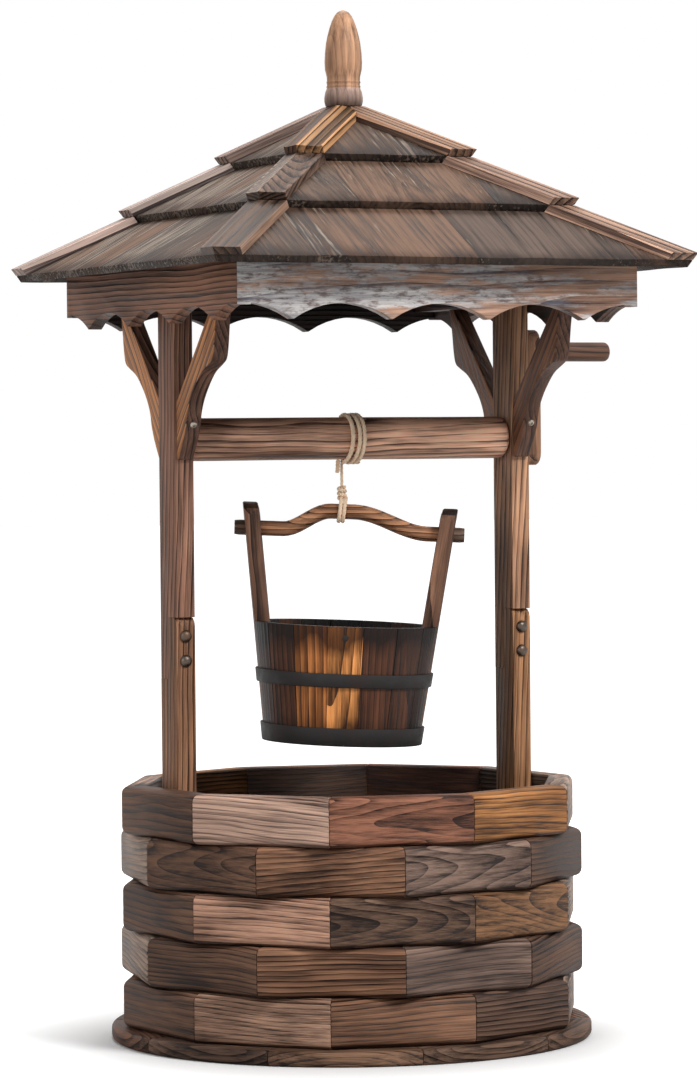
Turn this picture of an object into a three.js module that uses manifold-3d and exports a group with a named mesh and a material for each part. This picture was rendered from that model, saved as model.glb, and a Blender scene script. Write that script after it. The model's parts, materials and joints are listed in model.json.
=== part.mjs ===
// A wooden wishing well planter: a ten-sided stacked wall on a base ring, two posts, a windlass
// with its bucket, and a square hipped roof with a turned finial.
// Millimetres. +X runs along the roller towards the crank, -Y is the front, +Z is up, and the
// origin is the middle of the underside.
import * as THREE from "three";
import { mergeVertices } from "three/addons/utils/BufferGeometryUtils.js";
import Module from "manifold-3d";

const wasm = await Module();
wasm.setup();
const { Manifold } = wasm;

// Gaps between pieces
const cutGap = 0.3; // between faces that are mitred, sloping or turned
const halfGap = cutGap / 2;
const pinPlay = 0.5; // round a wooden pin in its hole
const sidePlay = 1.5; // between a turning piece and the cheek beside it

// Overall
const overallHeight = 1143;

// Base ring and floor
const baseRadius = 268;
const baseHoleRadius = 180;
const baseThickness = 17;
const baseRound = 5;
const baseSides = 60;
const bearerWidth = 44;
const floorRadius = 192;
const floorThickness = 12;
const floorBoards = 4;
const floorSlit = 6;
const floorTop = baseThickness + floorThickness;

// Ten-sided wall
const wallSides = 10;
const wallCourses = 5;
const wallRadius = 259; // to the corners
const wallThickness = 27;
const courseHeight = 53.5;
const wallOuterRound = 6.5;
const wallInnerRound = 3;
const wallTurn = THREE.MathUtils.degToRad(5.6);
const wallStep = (2 * Math.PI) / wallSides;
const jointDepth = 2.5;
const jointWidth = 3;
const innerApothem = wallRadius * Math.cos(wallStep / 2) - wallThickness;
const wallHoleRadius = innerApothem / Math.cos(wallStep / 2);

// Roof, down from the top
const finialHeight = 107.5;
const finialFoot = overallHeight - finialHeight;
const apexDrop = 1;
const boardApex = finialFoot - apexDrop;
const roofSlope = 0.56;
const roofAngle = Math.atan(roofSlope);
const boardThickness = 8.75;
const boardRise = boardThickness / Math.cos(roofAngle);
const tierPitch = boardRise + cutGap;
const tierShares = [1, 0.6637, 0.369]; // of the eaves' half width
const tierLap = 31;
const tierCount = tierShares.length;
const roofUnder = boardApex - boardRise - (tierCount - 1) * tierPitch;
const battenWidth = 45;
const battenThickness = 9;
const cornerStretch = Math.SQRT2;

// Finial's profile: shares of its height, and radii as shares of its belly's
const finialRadius = 21.5;
const finialShares = [
  [0, 0.916], [0.051, 1], [0.093, 1], [0.149, 0.953], [0.191, 0.865], [0.205, 0.888], [0.219, 0.856],
  [0.237, 0.856], [0.251, 0.888], [0.265, 0.856], [0.307, 0.865], [0.381, 0.953], [0.456, 0.972],
  [0.549, 0.949], [0.651, 0.893], [0.726, 0.819], [0.8, 0.721], [0.884, 0.581], [0.958, 0.391],
  [0.986, 0.233],
];
const finialSides = 24;

// Posts
const postWidth = 22; // along X
const postDepth = 44; // along Y
const postHalfDepth = postDepth / 2;
const postDrop = 220.5; // from the finial's foot
const postTop = finialFoot - postDrop;
const lapDrop = 343;
const lapHeight = 68;
const lapTop = postTop - lapDrop;
const lapBottom = lapTop - lapHeight;
const lapRound = 10;
const postOuter = Math.min(...wallFaceAngles().map(reachInsideFace));
const postInner = postOuter - postWidth;
const postMiddle = postOuter - postWidth / 2;

// Post bolts
const boltRadius = 3.5;
const boltHeadRadius = 7;
const boltHeadHeight = 4.5;
const boltShares = [0.301, 0.699]; // up the lap
const nutRadius = 7.5;
const nutThickness = 6;
const nutSides = 6;
const boltTail = 2;

// Roof frame
const beamHeight = 36;
const fasciaThickness = 16;
const fasciaGap = 4.7; // from the posts' outer faces
const fasciaHalfWidth = postOuter + fasciaGap + fasciaThickness;
const eaveOverhang = 42.4;
const eaveHalfWidth = fasciaHalfWidth + eaveOverhang;
const tierHalfWidths = tierShares.map((share) => share * eaveHalfWidth);
const scallopPeakDrop = 6.5; // below the post tops
const scallopHeight = 17;
const scallopWidth = 115.7;
const scallopTips = [-1.5, -0.5, 0.5, 1.5];
const tabDrop = 8.6;
const tabWidth = 16;
const scallopSteps = 10;
const scallopPeak = postTop - scallopPeakDrop;
const tabBottom = postTop - tabDrop;
const beamHalfLength = fasciaHalfWidth - fasciaThickness - cutGap;

// Braces: the curved edge as shares of the reach from the post and of the height
const braceThickness = 18;
const braceHeight = 171;
const braceReach = 114;
const braceSeatShare = 0.368;
const braceToeShare = 0.053;
const braceShoulderShare = 0.896;
const braceShares = [
  [0.053, 0.012], [0.158, 0.117], [0.228, 0.211], [0.272, 0.31], [0.377, 0.415], [0.579, 0.538],
  [0.772, 0.596], [0.868, 0.632], [0.912, 0.713], [0.947, 0.854], [1, 1],
];
const braceSteps = 40;
const braceFoot = postTop - braceHeight;

// Windlass
const axleDrop = 149; // below the post tops
const axleHeight = postTop - axleDrop;
const rollerRadius = 24;
const rollerRound = 5;
const journalRadius = 10;
const journalDepth = 15; // into the left post and into the arm
const rollerHalfLength = postInner - sidePlay;
const armInner = postOuter + sidePlay;
const armThickness = 19;
const armOuter = armInner + armThickness;
const armHalfWidth = 14.5;
const armBelow = 32;
const armAbove = 122;
const gripAbove = 97;
const gripHeight = axleHeight + gripAbove;
const gripRadius = 11;
const gripLength = 93.6;
const gripEnd = armOuter + gripLength;
const gripRound = 5;
const tenonRadius = 6;
const turnSides = 32;

// Rope, down from the roller
const ropeRadius = 2.5;
const ropeSides = 8;
const ropeTurns = 3;
const ropeTurnSteps = 24;
const strandTurns = [0, 0.25, 1.25, 2.25, 3];
const strandPlaces = [-6.4, -4.4, 4.2, 9.9, 14.2];
const windRadius = rollerRadius + ropeRadius + cutGap;
const fallPlace = -6.4;
const fallLength = 23.4;
const fallTop = axleHeight - windRadius - ropeRadius - cutGap;
const knotHeight = 16;
const knotTop = fallTop - fallLength;
const knotBottom = knotTop - knotHeight;
const knotRadius = 6.5;
const knotWaistRadius = 5.2;
const knotTurns = 3;
const knotLap = 1.4; // down over the loop round the bar

// Bucket, in its own frame: its axis upright and its bar along X
const bucketTurn = THREE.MathUtils.degToRad(-25.5);
const bucketLean = THREE.MathUtils.degToRad(2.6);
const tieOffset = -9; // the rope's place along the bar
const barHalfLength = 128.3;
const barRadius = 8.5;
const barRise = 21.6;
const barFlatHalf = 28;
const barStraightHalf = 80;
const barSteps = 26;
const barSides = 16;
const loopRadius = barRadius + ropeRadius + cutGap;
const barMiddle = knotBottom - loopRadius - ropeRadius + knotLap;
const barEndHeight = barMiddle - barRise;
const rimDrop = 103; // from the bar's ends
const bucketHeight = 132;
const bucketRim = barEndHeight - rimDrop;
const bucketBottom = bucketRim - bucketHeight;
const bottomRadius = 86.6;
const rimRadius = 103.5;
const bucketFlare = (rimRadius - bottomRadius) / bucketHeight;
const staveThickness = 12;
const earThickness = 16;
const earHalfWidth = 19;
const earOver = 29; // above the bar's ends
const earTop = barEndHeight + earOver;
const earRound = 14;
const discLift = 9;
const discBottom = bucketBottom + discLift;
const discThickness = 12;
const grooveDepth = 3;
const hoopThickness = 2.5;
const middleHoopLift = 65;
const middleHoopHeight = 15;
const bottomHoopHeight = 20;
const bucketSides = 48;

// Shades of the wood, rope and iron
const wallColour = 0x7a5540;
const frameColour = 0x8a6147;
const roofColour = 0x7d6a5c;
const battenColour = 0xa08068;
const bucketColour = 0x8f5a34;
const ironColour = 0x2b2725;
const ropeColour = 0xc8ad84;
const floorColour = 0x5a4436;

const arcSteps = 3;
const quarterTurn = 90; // degrees
const weldDistance = 1e-4;
const cutMargin = 50;
const planter = new THREE.Group();

// The directions that the wall's faces look in, over all its courses
function wallFaceAngles() {
  const angles = [];
  for (let face = 0; face < 2 * wallSides; face += 1) {
    angles.push(wallTurn + (face * wallStep) / 2);
  }
  return angles;
}

// How far out along X a post's outer face may lie for one of the wall's inner faces
function reachInsideFace(angle) {
  const along = Math.abs(Math.cos(angle));
  if (along < Math.cos(wallStep)) {
    return Infinity;
  }
  return (innerApothem - cutGap - postHalfDepth * Math.abs(Math.sin(angle))) / along;
}

// Solids from three.js geometry, and back
function solidOf(geometry) {
  const plain = geometry.index ? geometry.toNonIndexed() : geometry;
  const bare = new THREE.BufferGeometry().setAttribute("position", plain.getAttribute("position"));
  const merged = mergeVertices(bare, weldDistance);
  const mesh = new wasm.Mesh({
    numProp: 3,
    vertProperties: merged.attributes.position.array,
    triVerts: new Uint32Array(merged.index.array),
  });
  return new Manifold(mesh);
}

function geometryOf(solid) {
  const mesh = solid.getMesh();
  const indexed = new THREE.BufferGeometry();
  indexed.setAttribute("position", new THREE.BufferAttribute(new Float32Array(mesh.vertProperties), 3));
  indexed.setIndex(new THREE.BufferAttribute(mesh.triVerts, 1));
  const flat = indexed.toNonIndexed();
  flat.computeVertexNormals();
  return flat;
}

function addNode(name, solid, colour, metalness = 0) {
  const material = new THREE.MeshStandardMaterial({ color: colour, roughness: 0.8, metalness });
  const mesh = new THREE.Mesh(geometryOf(solid), material);
  mesh.name = name;
  planter.add(mesh);
}

// Simple solids
function box(low, high) {
  const size = high.map((value, axis) => value - low[axis]);
  const geometry = new THREE.BoxGeometry(...size);
  geometry.translate(...low.map((value, axis) => value + size[axis] / 2));
  return solidOf(geometry);
}

// A ring or a turned piece about Z; its profile is [radius, height] pairs that close on themselves or
// end on the axis
function turned(profile, sides, turn = 0) {
  const points = profile.map(([radius, height]) => new THREE.Vector2(radius, height));
  if (THREE.ShapeUtils.area(points) < 0) {
    points.reverse();
  }
  if (points[0].x > 0) {
    points.push(points[0].clone());
  }
  const geometry = new THREE.LatheGeometry(points, sides);
  geometry.rotateX(Math.PI / 2);
  geometry.rotateZ(turn);
  return solidOf(geometry);
}

function cylinder(radius, bottom, top, sides = turnSides) {
  return turned([[0, bottom], [radius, bottom], [radius, top], [0, top]], sides);
}

// Outlines pushed along an axis
function extrudeAlong(outline, depth) {
  const shape = new THREE.Shape(outline.map(([across, up]) => new THREE.Vector2(across, up)));
  return new THREE.ExtrudeGeometry(shape, { depth, bevelEnabled: false });
}

function extrudeX(outline, start, end) {
  const geometry = extrudeAlong(outline, end - start);
  geometry.rotateX(Math.PI / 2);
  geometry.rotateZ(Math.PI / 2);
  geometry.translate(start, 0, 0);
  return solidOf(geometry);
}

function extrudeY(outline, start, end) {
  const geometry = extrudeAlong(outline, end - start);
  geometry.rotateX(Math.PI / 2);
  geometry.translate(0, end, 0);
  return solidOf(geometry);
}

function extrudeZ(outline, start, end) {
  const geometry = extrudeAlong(outline, end - start);
  geometry.translate(0, 0, start);
  return solidOf(geometry);
}

// The part of a solid on the side of a plane that its normal points to
function keepSide(solid, normal, point) {
  const unit = new THREE.Vector3(...normal).normalize();
  return solid.trimByPlane(unit.toArray(), unit.dot(new THREE.Vector3(...point)));
}

// An arc's points from one angle to another
function arc(centre, radius, from, to, steps = arcSteps) {
  const points = [];
  for (let i = 0; i <= steps; i += 1) {
    const angle = from + ((to - from) * i) / steps;
    points.push([centre[0] + radius * Math.cos(angle), centre[1] + radius * Math.sin(angle)]);
  }
  return points;
}

// A ring's section with its outer and inner long edges rounded
function ringProfile(inner, outer, bottom, top, innerRound, outerRound) {
  return [
    ...arc([outer - outerRound, bottom + outerRound], outerRound, -Math.PI / 2, 0),
    ...arc([outer - outerRound, top - outerRound], outerRound, 0, Math.PI / 2),
    ...arc([inner + innerRound, top - innerRound], innerRound, Math.PI / 2, Math.PI),
    ...arc([inner + innerRound, bottom + innerRound], innerRound, Math.PI, 1.5 * Math.PI),
  ];
}

// A tube round a curve
function tube(curve, radius, sides, steps) {
  const section = new THREE.Shape(
    arc([0, 0], radius, 0, 2 * Math.PI, sides).slice(0, sides).map(([x, y]) => new THREE.Vector2(x, y)),
  );
  return solidOf(new THREE.ExtrudeGeometry(section, { steps, extrudePath: curve, bevelEnabled: false }));
}

// A value between listed places
function between(places, values, place) {
  for (let i = 1; i < places.length; i += 1) {
    if (place <= places[i]) {
      const share = (place - places[i - 1]) / (places[i] - places[i - 1]);
      return THREE.MathUtils.lerp(values[i - 1], values[i], share);
    }
  }
  return values[values.length - 1];
}

// Base ring, floor bearer and floor boards
function makeBase() {
  const section = ringProfile(baseHoleRadius, baseRadius, 0, baseThickness, baseRound / 2, baseRound);
  const ring = turned(section, baseSides);
  addNode("base_ring", ring, wallColour);
  const well = cylinder(baseHoleRadius - cutGap, 0, baseThickness, baseSides);
  const plank = box([-baseHoleRadius, -bearerWidth / 2, 0], [baseHoleRadius, bearerWidth / 2, baseThickness]);
  addNode("floor_bearer", plank.intersect(well), floorColour);
  const disc = cylinder(floorRadius, baseThickness, floorTop, baseSides);
  const boardPitch = (2 * floorRadius) / floorBoards;
  for (let i = 0; i < floorBoards; i += 1) {
    const front = -floorRadius + i * boardPitch + floorSlit / 2;
    const back = front + boardPitch - floorSlit;
    const board = box([-floorRadius, front, baseThickness], [floorRadius, back, floorTop]).intersect(disc);
    addNode("floor_board_" + (i + 1), board, floorColour);
  }
}

// One course of the wall, its ten mitred joints showing as grooves down the corners
function makeCourse(index) {
  const bottom = baseThickness + index * courseHeight;
  const top = bottom + courseHeight;
  const turn = wallTurn + (index % 2) * (wallStep / 2);
  const profile = ringProfile(wallHoleRadius, wallRadius, bottom, top, wallInnerRound, wallOuterRound);
  let ring = turned(profile, wallSides, turn);
  const tip = wallRadius - jointDepth;
  const mouth = wallRadius + jointDepth;
  const notch = [[0, -tip], [-jointWidth, -mouth], [jointWidth, -mouth]];
  const groove = extrudeZ(notch, bottom - cutGap, top + cutGap);
  for (let corner = 0; corner < wallSides; corner += 1) {
    const degrees = THREE.MathUtils.radToDeg(turn + corner * wallStep);
    ring = ring.subtract(groove.rotate([0, 0, degrees]));
  }
  addNode("wall_course_" + (index + 1), ring, wallColour);
}

// Holes along X and along Y
function holeX(radius, start, end, height) {
  return cylinder(radius, start, end).rotate([0, quarterTurn, 0]).translate([0, 0, height]);
}

function holeY(radius, place, height) {
  return cylinder(radius, -postDepth, postDepth).rotate([quarterTurn, 0, 0]).translate([place, 0, height]);
}

// A post's lower and upper pieces, halved together, with two bolts through the lap
function makePost(side, word) {
  const start = side < 0 ? -postOuter : postInner;
  const lowerOutline = [
    [-postHalfDepth, baseThickness], [postHalfDepth, baseThickness], [postHalfDepth, lapBottom],
    [0, lapBottom], [0, lapTop],
    ...arc([-postHalfDepth + lapRound, lapTop - lapRound], lapRound, Math.PI / 2, Math.PI),
  ];
  const upperOutline = [
    [-postHalfDepth, lapTop], [0, lapTop], [0, lapBottom], [postHalfDepth, lapBottom],
    [postHalfDepth, postTop], [-postHalfDepth, postTop],
  ];
  let lower = extrudeX(lowerOutline, start, start + postWidth);
  let upper = extrudeX(upperOutline, start, start + postWidth);
  boltShares.forEach((share, i) => {
    const height = lapBottom + share * lapHeight;
    const hole = holeY(boltRadius + cutGap, side * postMiddle, height);
    lower = lower.subtract(hole);
    upper = upper.subtract(hole);
    makeBolt("post_bolt_" + word + "_" + (i + 1), side * postMiddle, height);
  });
  const deep = postInner + journalDepth + sidePlay;
  const hole = side < 0
    ? holeX(journalRadius + pinPlay, -deep, -postInner + sidePlay, axleHeight)
    : holeX(journalRadius + pinPlay, postInner - sidePlay, postOuter + sidePlay, axleHeight);
  upper = upper.subtract(hole);
  addNode("post_lower_" + word, lower, frameColour);
  addNode("post_upper_" + word, upper, frameColour);
}

function makeBolt(name, place, height) {
  const dome = arc([0, 0], 1, 0, Math.PI / 2, arcSteps).map(([across, up]) => [
    boltHeadRadius * across, boltHeadHeight * up,
  ]);
  dome[dome.length - 1][0] = 0;
  const shankEnd = -postDepth - nutThickness - boltTail;
  const bolt = turned([[0, shankEnd], [boltRadius, shankEnd], [boltRadius, 0], ...dome], turnSides / 2);
  const nut = cylinder(nutRadius, -postDepth - nutThickness, -postDepth, nutSides);
  const whole = bolt.add(nut).rotate([quarterTurn, 0, 0]).translate([place, -postHalfDepth, height]);
  addNode(name, whole, ironColour, 1);
}

// Crossbeam on one post, with its two braces
function makeBeamAndBraces(side, word) {
  const start = side < 0 ? -postOuter : postInner;
  const beamEnd = [start + postWidth, beamHalfLength, postTop + beamHeight];
  const beam = box([start, -beamHalfLength, postTop], beamEnd);
  addNode("crossbeam_" + word, beam, frameColour);
  const curve = new THREE.SplineCurve(braceShares.map(
    ([out, up]) => new THREE.Vector2(postHalfDepth + out * braceReach, braceFoot + up * braceHeight),
  ));
  const edge = curve.getPoints(braceSteps).map((point) => [point.x, point.y]);
  const toe = postHalfDepth + braceToeShare * braceReach;
  const shoulder = postHalfDepth + braceShoulderShare * braceReach;
  const seatTop = braceFoot + braceSeatShare * braceHeight;
  const outline = [
    [postHalfDepth, braceFoot], [toe, braceFoot], ...edge, [shoulder, postTop], [postHalfDepth, seatTop],
  ];
  const low = side * postMiddle - braceThickness / 2;
  const mirrored = outline.map(([across, up]) => [-across, up]).reverse();
  addNode("brace_" + word + "_front", extrudeX(mirrored, low, low + braceThickness), frameColour);
  addNode("brace_" + word + "_back", extrudeX(outline, low, low + braceThickness), frameColour);
}

// Height of the sloping face under the first tier, at a distance out from the middle
function slopeHeight(level, out) {
  return roofUnder + level * tierPitch - roofSlope * out;
}

// A fascia board, its lower edge scalloped, its ends mitred and its top following the roof
function makeFascia(name, turn) {
  const chordHalf = scallopWidth / 2;
  const radius = (chordHalf * chordHalf + scallopHeight * scallopHeight) / (2 * scallopHeight);
  const top = slopeHeight(0, fasciaHalfWidth - fasciaThickness);
  const tabInner = fasciaHalfWidth - tabWidth;
  const outline = [[-fasciaHalfWidth, tabBottom], [-tabInner, tabBottom]];
  const scallopEdge = (place) => {
    const peak = Math.round(place / scallopWidth) * scallopWidth;
    const offset = place - peak;
    return scallopPeak - radius + Math.sqrt(radius * radius - offset * offset);
  };
  const places = [-tabInner];
  const bounds = [-tabInner, ...scallopTips.map((tip) => tip * scallopWidth), tabInner];
  for (let i = 1; i < bounds.length; i += 1) {
    for (let step = 1; step <= scallopSteps; step += 1) {
      places.push(THREE.MathUtils.lerp(bounds[i - 1], bounds[i], step / scallopSteps));
    }
  }
  places.forEach((place) => outline.push([place, scallopEdge(place)]));
  outline.push([tabInner, tabBottom], [fasciaHalfWidth, tabBottom]);
  outline.push([fasciaHalfWidth, top], [-fasciaHalfWidth, top]);
  let board = extrudeY(outline, -fasciaHalfWidth, -fasciaHalfWidth + fasciaThickness);
  const corner = fasciaHalfWidth - halfGap * cornerStretch;
  board = keepSide(board, [-1, -1, 0], [corner, -fasciaHalfWidth, 0]);
  board = keepSide(board, [1, -1, 0], [-corner, -fasciaHalfWidth, 0]);
  const under = slopeHeight(0, fasciaHalfWidth) - cutGap;
  board = keepSide(board, [0, roofSlope, -1], [0, -fasciaHalfWidth, under]);
  addNode(name, board.rotate([0, 0, turn]), frameColour);
}

// A sloping shell of the roof between two half sides, its lower edge cut square to the slope
function slopedShell(level, thick, inner, outer, squareInner) {
  const rise = thick / Math.cos(roofAngle);
  const lean = (thick * Math.sin(roofAngle)) / 2;
  const innerLean = squareInner ? lean : 0;
  const face = (out, lift) => [out * cornerStretch, slopeHeight(level, out) + lift];
  const bottomStart = Math.max(inner - innerLean, 0);
  const topStart = inner > 0 ? inner + innerLean : 0;
  const profile = [
    face(bottomStart, 0), face(outer - lean, 0), face(outer + lean, rise), face(topStart, rise),
  ];
  return turned(profile, 4, Math.PI / 4);
}

function makeRoof() {
  const edgeLean = boardThickness * Math.sin(roofAngle);
  for (let tier = 0; tier < tierCount; tier += 1) {
    const last = tier === tierCount - 1;
    const inner = last ? 0 : tierHalfWidths[tier + 1] - tierLap;
    const shell = slopedShell(tier, boardThickness, inner, tierHalfWidths[tier], false);
    addNode("roof_tier_" + (tier + 1), shell, roofColour);
    const stop = last ? 0 : tierHalfWidths[tier + 1] + cutGap;
    const cover = slopedShell(tier + 1, battenThickness, stop, tierHalfWidths[tier] + edgeLean, true);
    for (let hip = 0; hip < 4; hip += 1) {
      makeBatten(cover, tier, hip, last);
    }
  }
}

// A strip of the sloping cover along one hip
function makeBatten(cover, tier, hip, last) {
  const reach = tierHalfWidths[tier] * cornerStretch + cutMargin;
  const strip = box([0, -battenWidth / 2, 0], [reach, battenWidth / 2, overallHeight]);
  const angle = (hip - 0.5) * quarterTurn;
  let batten = cover.intersect(strip.rotate([0, 0, angle]));
  if (last) {
    const quarter = box([halfGap, halfGap, 0], [reach, reach, finialFoot]);
    batten = batten.intersect(quarter.rotate([0, 0, angle - quarterTurn / 2]));
  }
  addNode("hip_batten_" + (tier + 1) + "_" + (hip + 1), batten, battenColour);
}

function makeFinial() {
  const profile = finialShares.map(([up, out]) => [out * finialRadius, finialFoot + up * finialHeight]);
  const solid = turned([[0, finialFoot], ...profile, [0, overallHeight]], finialSides);
  addNode("finial", solid, frameColour);
}

// The roller with a journal at each end, the crank arm and its grip
function makeWindlass() {
  const leftEnd = -postInner - journalDepth;
  const rightEnd = armInner + journalDepth;
  const across = rollerRadius - rollerRound;
  const along = rollerHalfLength - rollerRound;
  const roundEnd = arc([across, along], rollerRound, 0, Math.PI / 2);
  const roundStart = arc([across, -along], rollerRound, -Math.PI / 2, 0);
  const profile = [
    [0, leftEnd], [journalRadius, leftEnd], [journalRadius, -rollerHalfLength], ...roundStart, ...roundEnd,
    [journalRadius, rollerHalfLength], [journalRadius, rightEnd], [0, rightEnd],
  ];
  const roller = turned(profile, turnSides).rotate([0, quarterTurn, 0]).translate([0, 0, axleHeight]);
  addNode("windlass_roller", roller, frameColour);
  const outline = [
    ...arc([0, axleHeight + armAbove - armHalfWidth], armHalfWidth, 0, Math.PI, 3 * arcSteps),
    ...arc([0, axleHeight - armBelow + armHalfWidth], armHalfWidth, Math.PI, 2 * Math.PI, 3 * arcSteps),
  ];
  const tenonEnd = armOuter - journalDepth;
  const arm = extrudeX(outline, armInner, armOuter)
    .subtract(holeX(journalRadius + cutGap, armInner - sidePlay, rightEnd + cutGap, axleHeight))
    .subtract(holeX(tenonRadius + cutGap, tenonEnd - cutGap, armOuter + sidePlay, gripHeight));
  addNode("crank_arm", arm, frameColour);
  const gripProfile = [
    [0, tenonEnd], [tenonRadius, tenonEnd], [tenonRadius, armOuter], [gripRadius, armOuter],
    ...arc([gripRadius - gripRound, gripEnd - gripRound], gripRound, 0, Math.PI / 2), [0, gripEnd],
  ];
  const grip = turned(gripProfile, turnSides).rotate([0, quarterTurn, 0]).translate([0, 0, gripHeight]);
  addNode("crank_grip", grip, frameColour);
}

// The rope's turns round the roller, starting and ending under it
class Winding extends THREE.Curve {
  getPoint(share, target = new THREE.Vector3()) {
    const turns = share * ropeTurns;
    const angle = -Math.PI / 2 - turns * 2 * Math.PI;
    const place = between(strandTurns, strandPlaces, turns);
    return target.set(place, windRadius * Math.cos(angle), axleHeight + windRadius * Math.sin(angle));
  }
}

function windingGap() {
  let least = Infinity;
  for (let turns = 0; turns <= ropeTurns - 1; turns += 1 / ropeTurnSteps) {
    const step = between(strandTurns, strandPlaces, turns + 1) - between(strandTurns, strandPlaces, turns);
    const lead = Math.atan2(step, 2 * Math.PI * windRadius);
    least = Math.min(least, step * Math.cos(lead) - 2 * ropeRadius);
  }
  return least;
}

// The bar's bent middle line in the bucket's frame
class BarLine extends THREE.Curve {
  getPoint(share, target = new THREE.Vector3()) {
    const place = THREE.MathUtils.lerp(-barHalfLength, barHalfLength, share);
    const rise = 1 - THREE.MathUtils.smoothstep(Math.abs(place), barFlatHalf, barStraightHalf);
    return target.set(place, 0, barEndHeight + barRise * rise);
  }
}

// From the bucket's own frame to where it hangs
function hang(solid) {
  return solid
    .translate([-tieOffset, 0, -barMiddle])
    .rotate([0, THREE.MathUtils.radToDeg(bucketLean), 0])
    .rotate([0, 0, THREE.MathUtils.radToDeg(bucketTurn)])
    .translate([fallPlace, 0, barMiddle]);
}

function makeRope() {
  const winding = tube(new Winding(), ropeRadius, ropeSides, ropeTurns * ropeTurnSteps);
  addNode("rope_winding", winding, ropeColour);
  const fall = cylinder(ropeRadius, knotTop, fallTop, 2 * ropeSides).translate([fallPlace, 0, 0]);
  addNode("rope_fall", fall, ropeColour);
  const knotPitch = (knotTop - knotBottom) / knotTurns;
  const knotProfile = [[0, knotBottom - knotPitch / 2], [knotWaistRadius, knotBottom - knotPitch / 2]];
  for (let i = 0; i < knotTurns; i += 1) {
    const low = knotBottom + i * knotPitch;
    knotProfile.push([knotWaistRadius, low], [knotRadius, low + knotPitch / 3]);
    knotProfile.push([knotRadius, low + (2 * knotPitch) / 3]);
  }
  knotProfile.push([knotWaistRadius, knotTop], [0, knotTop]);
  const knot = turned(knotProfile, 2 * ropeSides).translate([fallPlace, 0, 0]);
  const loopSection = arc([loopRadius, 0], ropeRadius, 0, 2 * Math.PI, ropeSides).slice(0, ropeSides);
  const loop = turned(loopSection, turnSides / 2)
    .rotate([0, quarterTurn, 0])
    .translate([tieOffset, 0, barMiddle]);
  addNode("rope_hitch", knot.add(hang(loop)), ropeColour);
}

function staveRadius(height) {
  return bottomRadius + bucketFlare * (height - bucketBottom);
}

// A conical ring between two heights, measured in from the staves' outer face
function coneRing(outside, inside, bottom, top) {
  return turned([
    [staveRadius(bottom) + outside, bottom], [staveRadius(top) + outside, top],
    [staveRadius(top) + inside, top], [staveRadius(bottom) + inside, bottom],
  ], bucketSides);
}

function makeBucket() {
  const discRadius = staveRadius(discBottom) - staveThickness + grooveDepth;
  const discTop = discBottom + discThickness;
  const disc = cylinder(discRadius, discBottom, discTop, bucketSides);
  const groove = cylinder(discRadius + cutGap, discBottom - cutGap, discTop + cutGap, bucketSides);
  addNode("bucket_bottom", hang(disc), bucketColour);
  const ring = coneRing(0, -staveThickness, bucketBottom, bucketRim).subtract(groove);
  const slot = earHalfWidth + cutGap;
  [["front", -1], ["back", 1]].forEach(([word, side]) => {
    const half = keepSide(ring, [0, side, 0], [0, side * slot, 0]);
    addNode("bucket_staves_" + word, hang(half), bucketColour);
  });
  const bore = cylinder(barRadius + pinPlay, -2 * rimRadius, 2 * rimRadius).rotate([0, quarterTurn, 0]);
  const earOutline = [
    [-earHalfWidth, bucketBottom], [earHalfWidth, bucketBottom],
    ...arc([earHalfWidth - earRound, earTop - earRound], earRound, 0, Math.PI / 2),
    ...arc([earRound - earHalfWidth, earTop - earRound], earRound, Math.PI / 2, Math.PI),
  ];
  const ears = coneRing(0, -earThickness, bucketBottom, earTop).subtract(groove).subtract(
    bore.translate([0, 0, barEndHeight]),
  );
  const outer = staveRadius(earTop) + cutMargin;
  [["left", -outer, -cutGap], ["right", cutGap, outer]].forEach(([word, low, high]) => {
    addNode("bucket_ear_" + word, hang(ears.intersect(extrudeX(earOutline, low, high))), bucketColour);
  });
  const hoop = (bottom, height) => coneRing(hoopThickness + cutGap, cutGap, bottom, bottom + height);
  addNode("bucket_hoop_middle", hang(hoop(bucketBottom + middleHoopLift, middleHoopHeight)), ironColour, 1);
  addNode("bucket_hoop_bottom", hang(hoop(bucketBottom, bottomHoopHeight)), ironColour, 1);
  addNode("bucket_handle", hang(tube(new BarLine(), barRadius, barSides, barSteps)), frameColour);
}

makeBase();
for (let index = 0; index < wallCourses; index += 1) {
  makeCourse(index);
}
makePost(-1, "left");
makePost(1, "right");
makeBeamAndBraces(-1, "left");
makeBeamAndBraces(1, "right");
["front", "right", "back", "left"].forEach((word, i) => makeFascia("fascia_" + word, quarterTurn * i));
makeRoof();
makeFinial();
makeWindlass();
makeRope();
makeBucket();
console.log("least gap between the rope's turns:", windingGap().toFixed(2), "mm");
console.log("post outer face at", postOuter.toFixed(2), "and arm outer face at", armOuter.toFixed(2));

export default planter;
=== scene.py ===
# %% [markdown]
# # A wishing well planter
# The well is all timber: short blocks stacked into a ten-sided wall, two posts, a board roof and a
# small bucket on a crank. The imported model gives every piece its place. Here each piece gets
# the eased edges, the single blocks and boards, and the brushed, scorched grain of the real one.

import json
import math
import random

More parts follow.
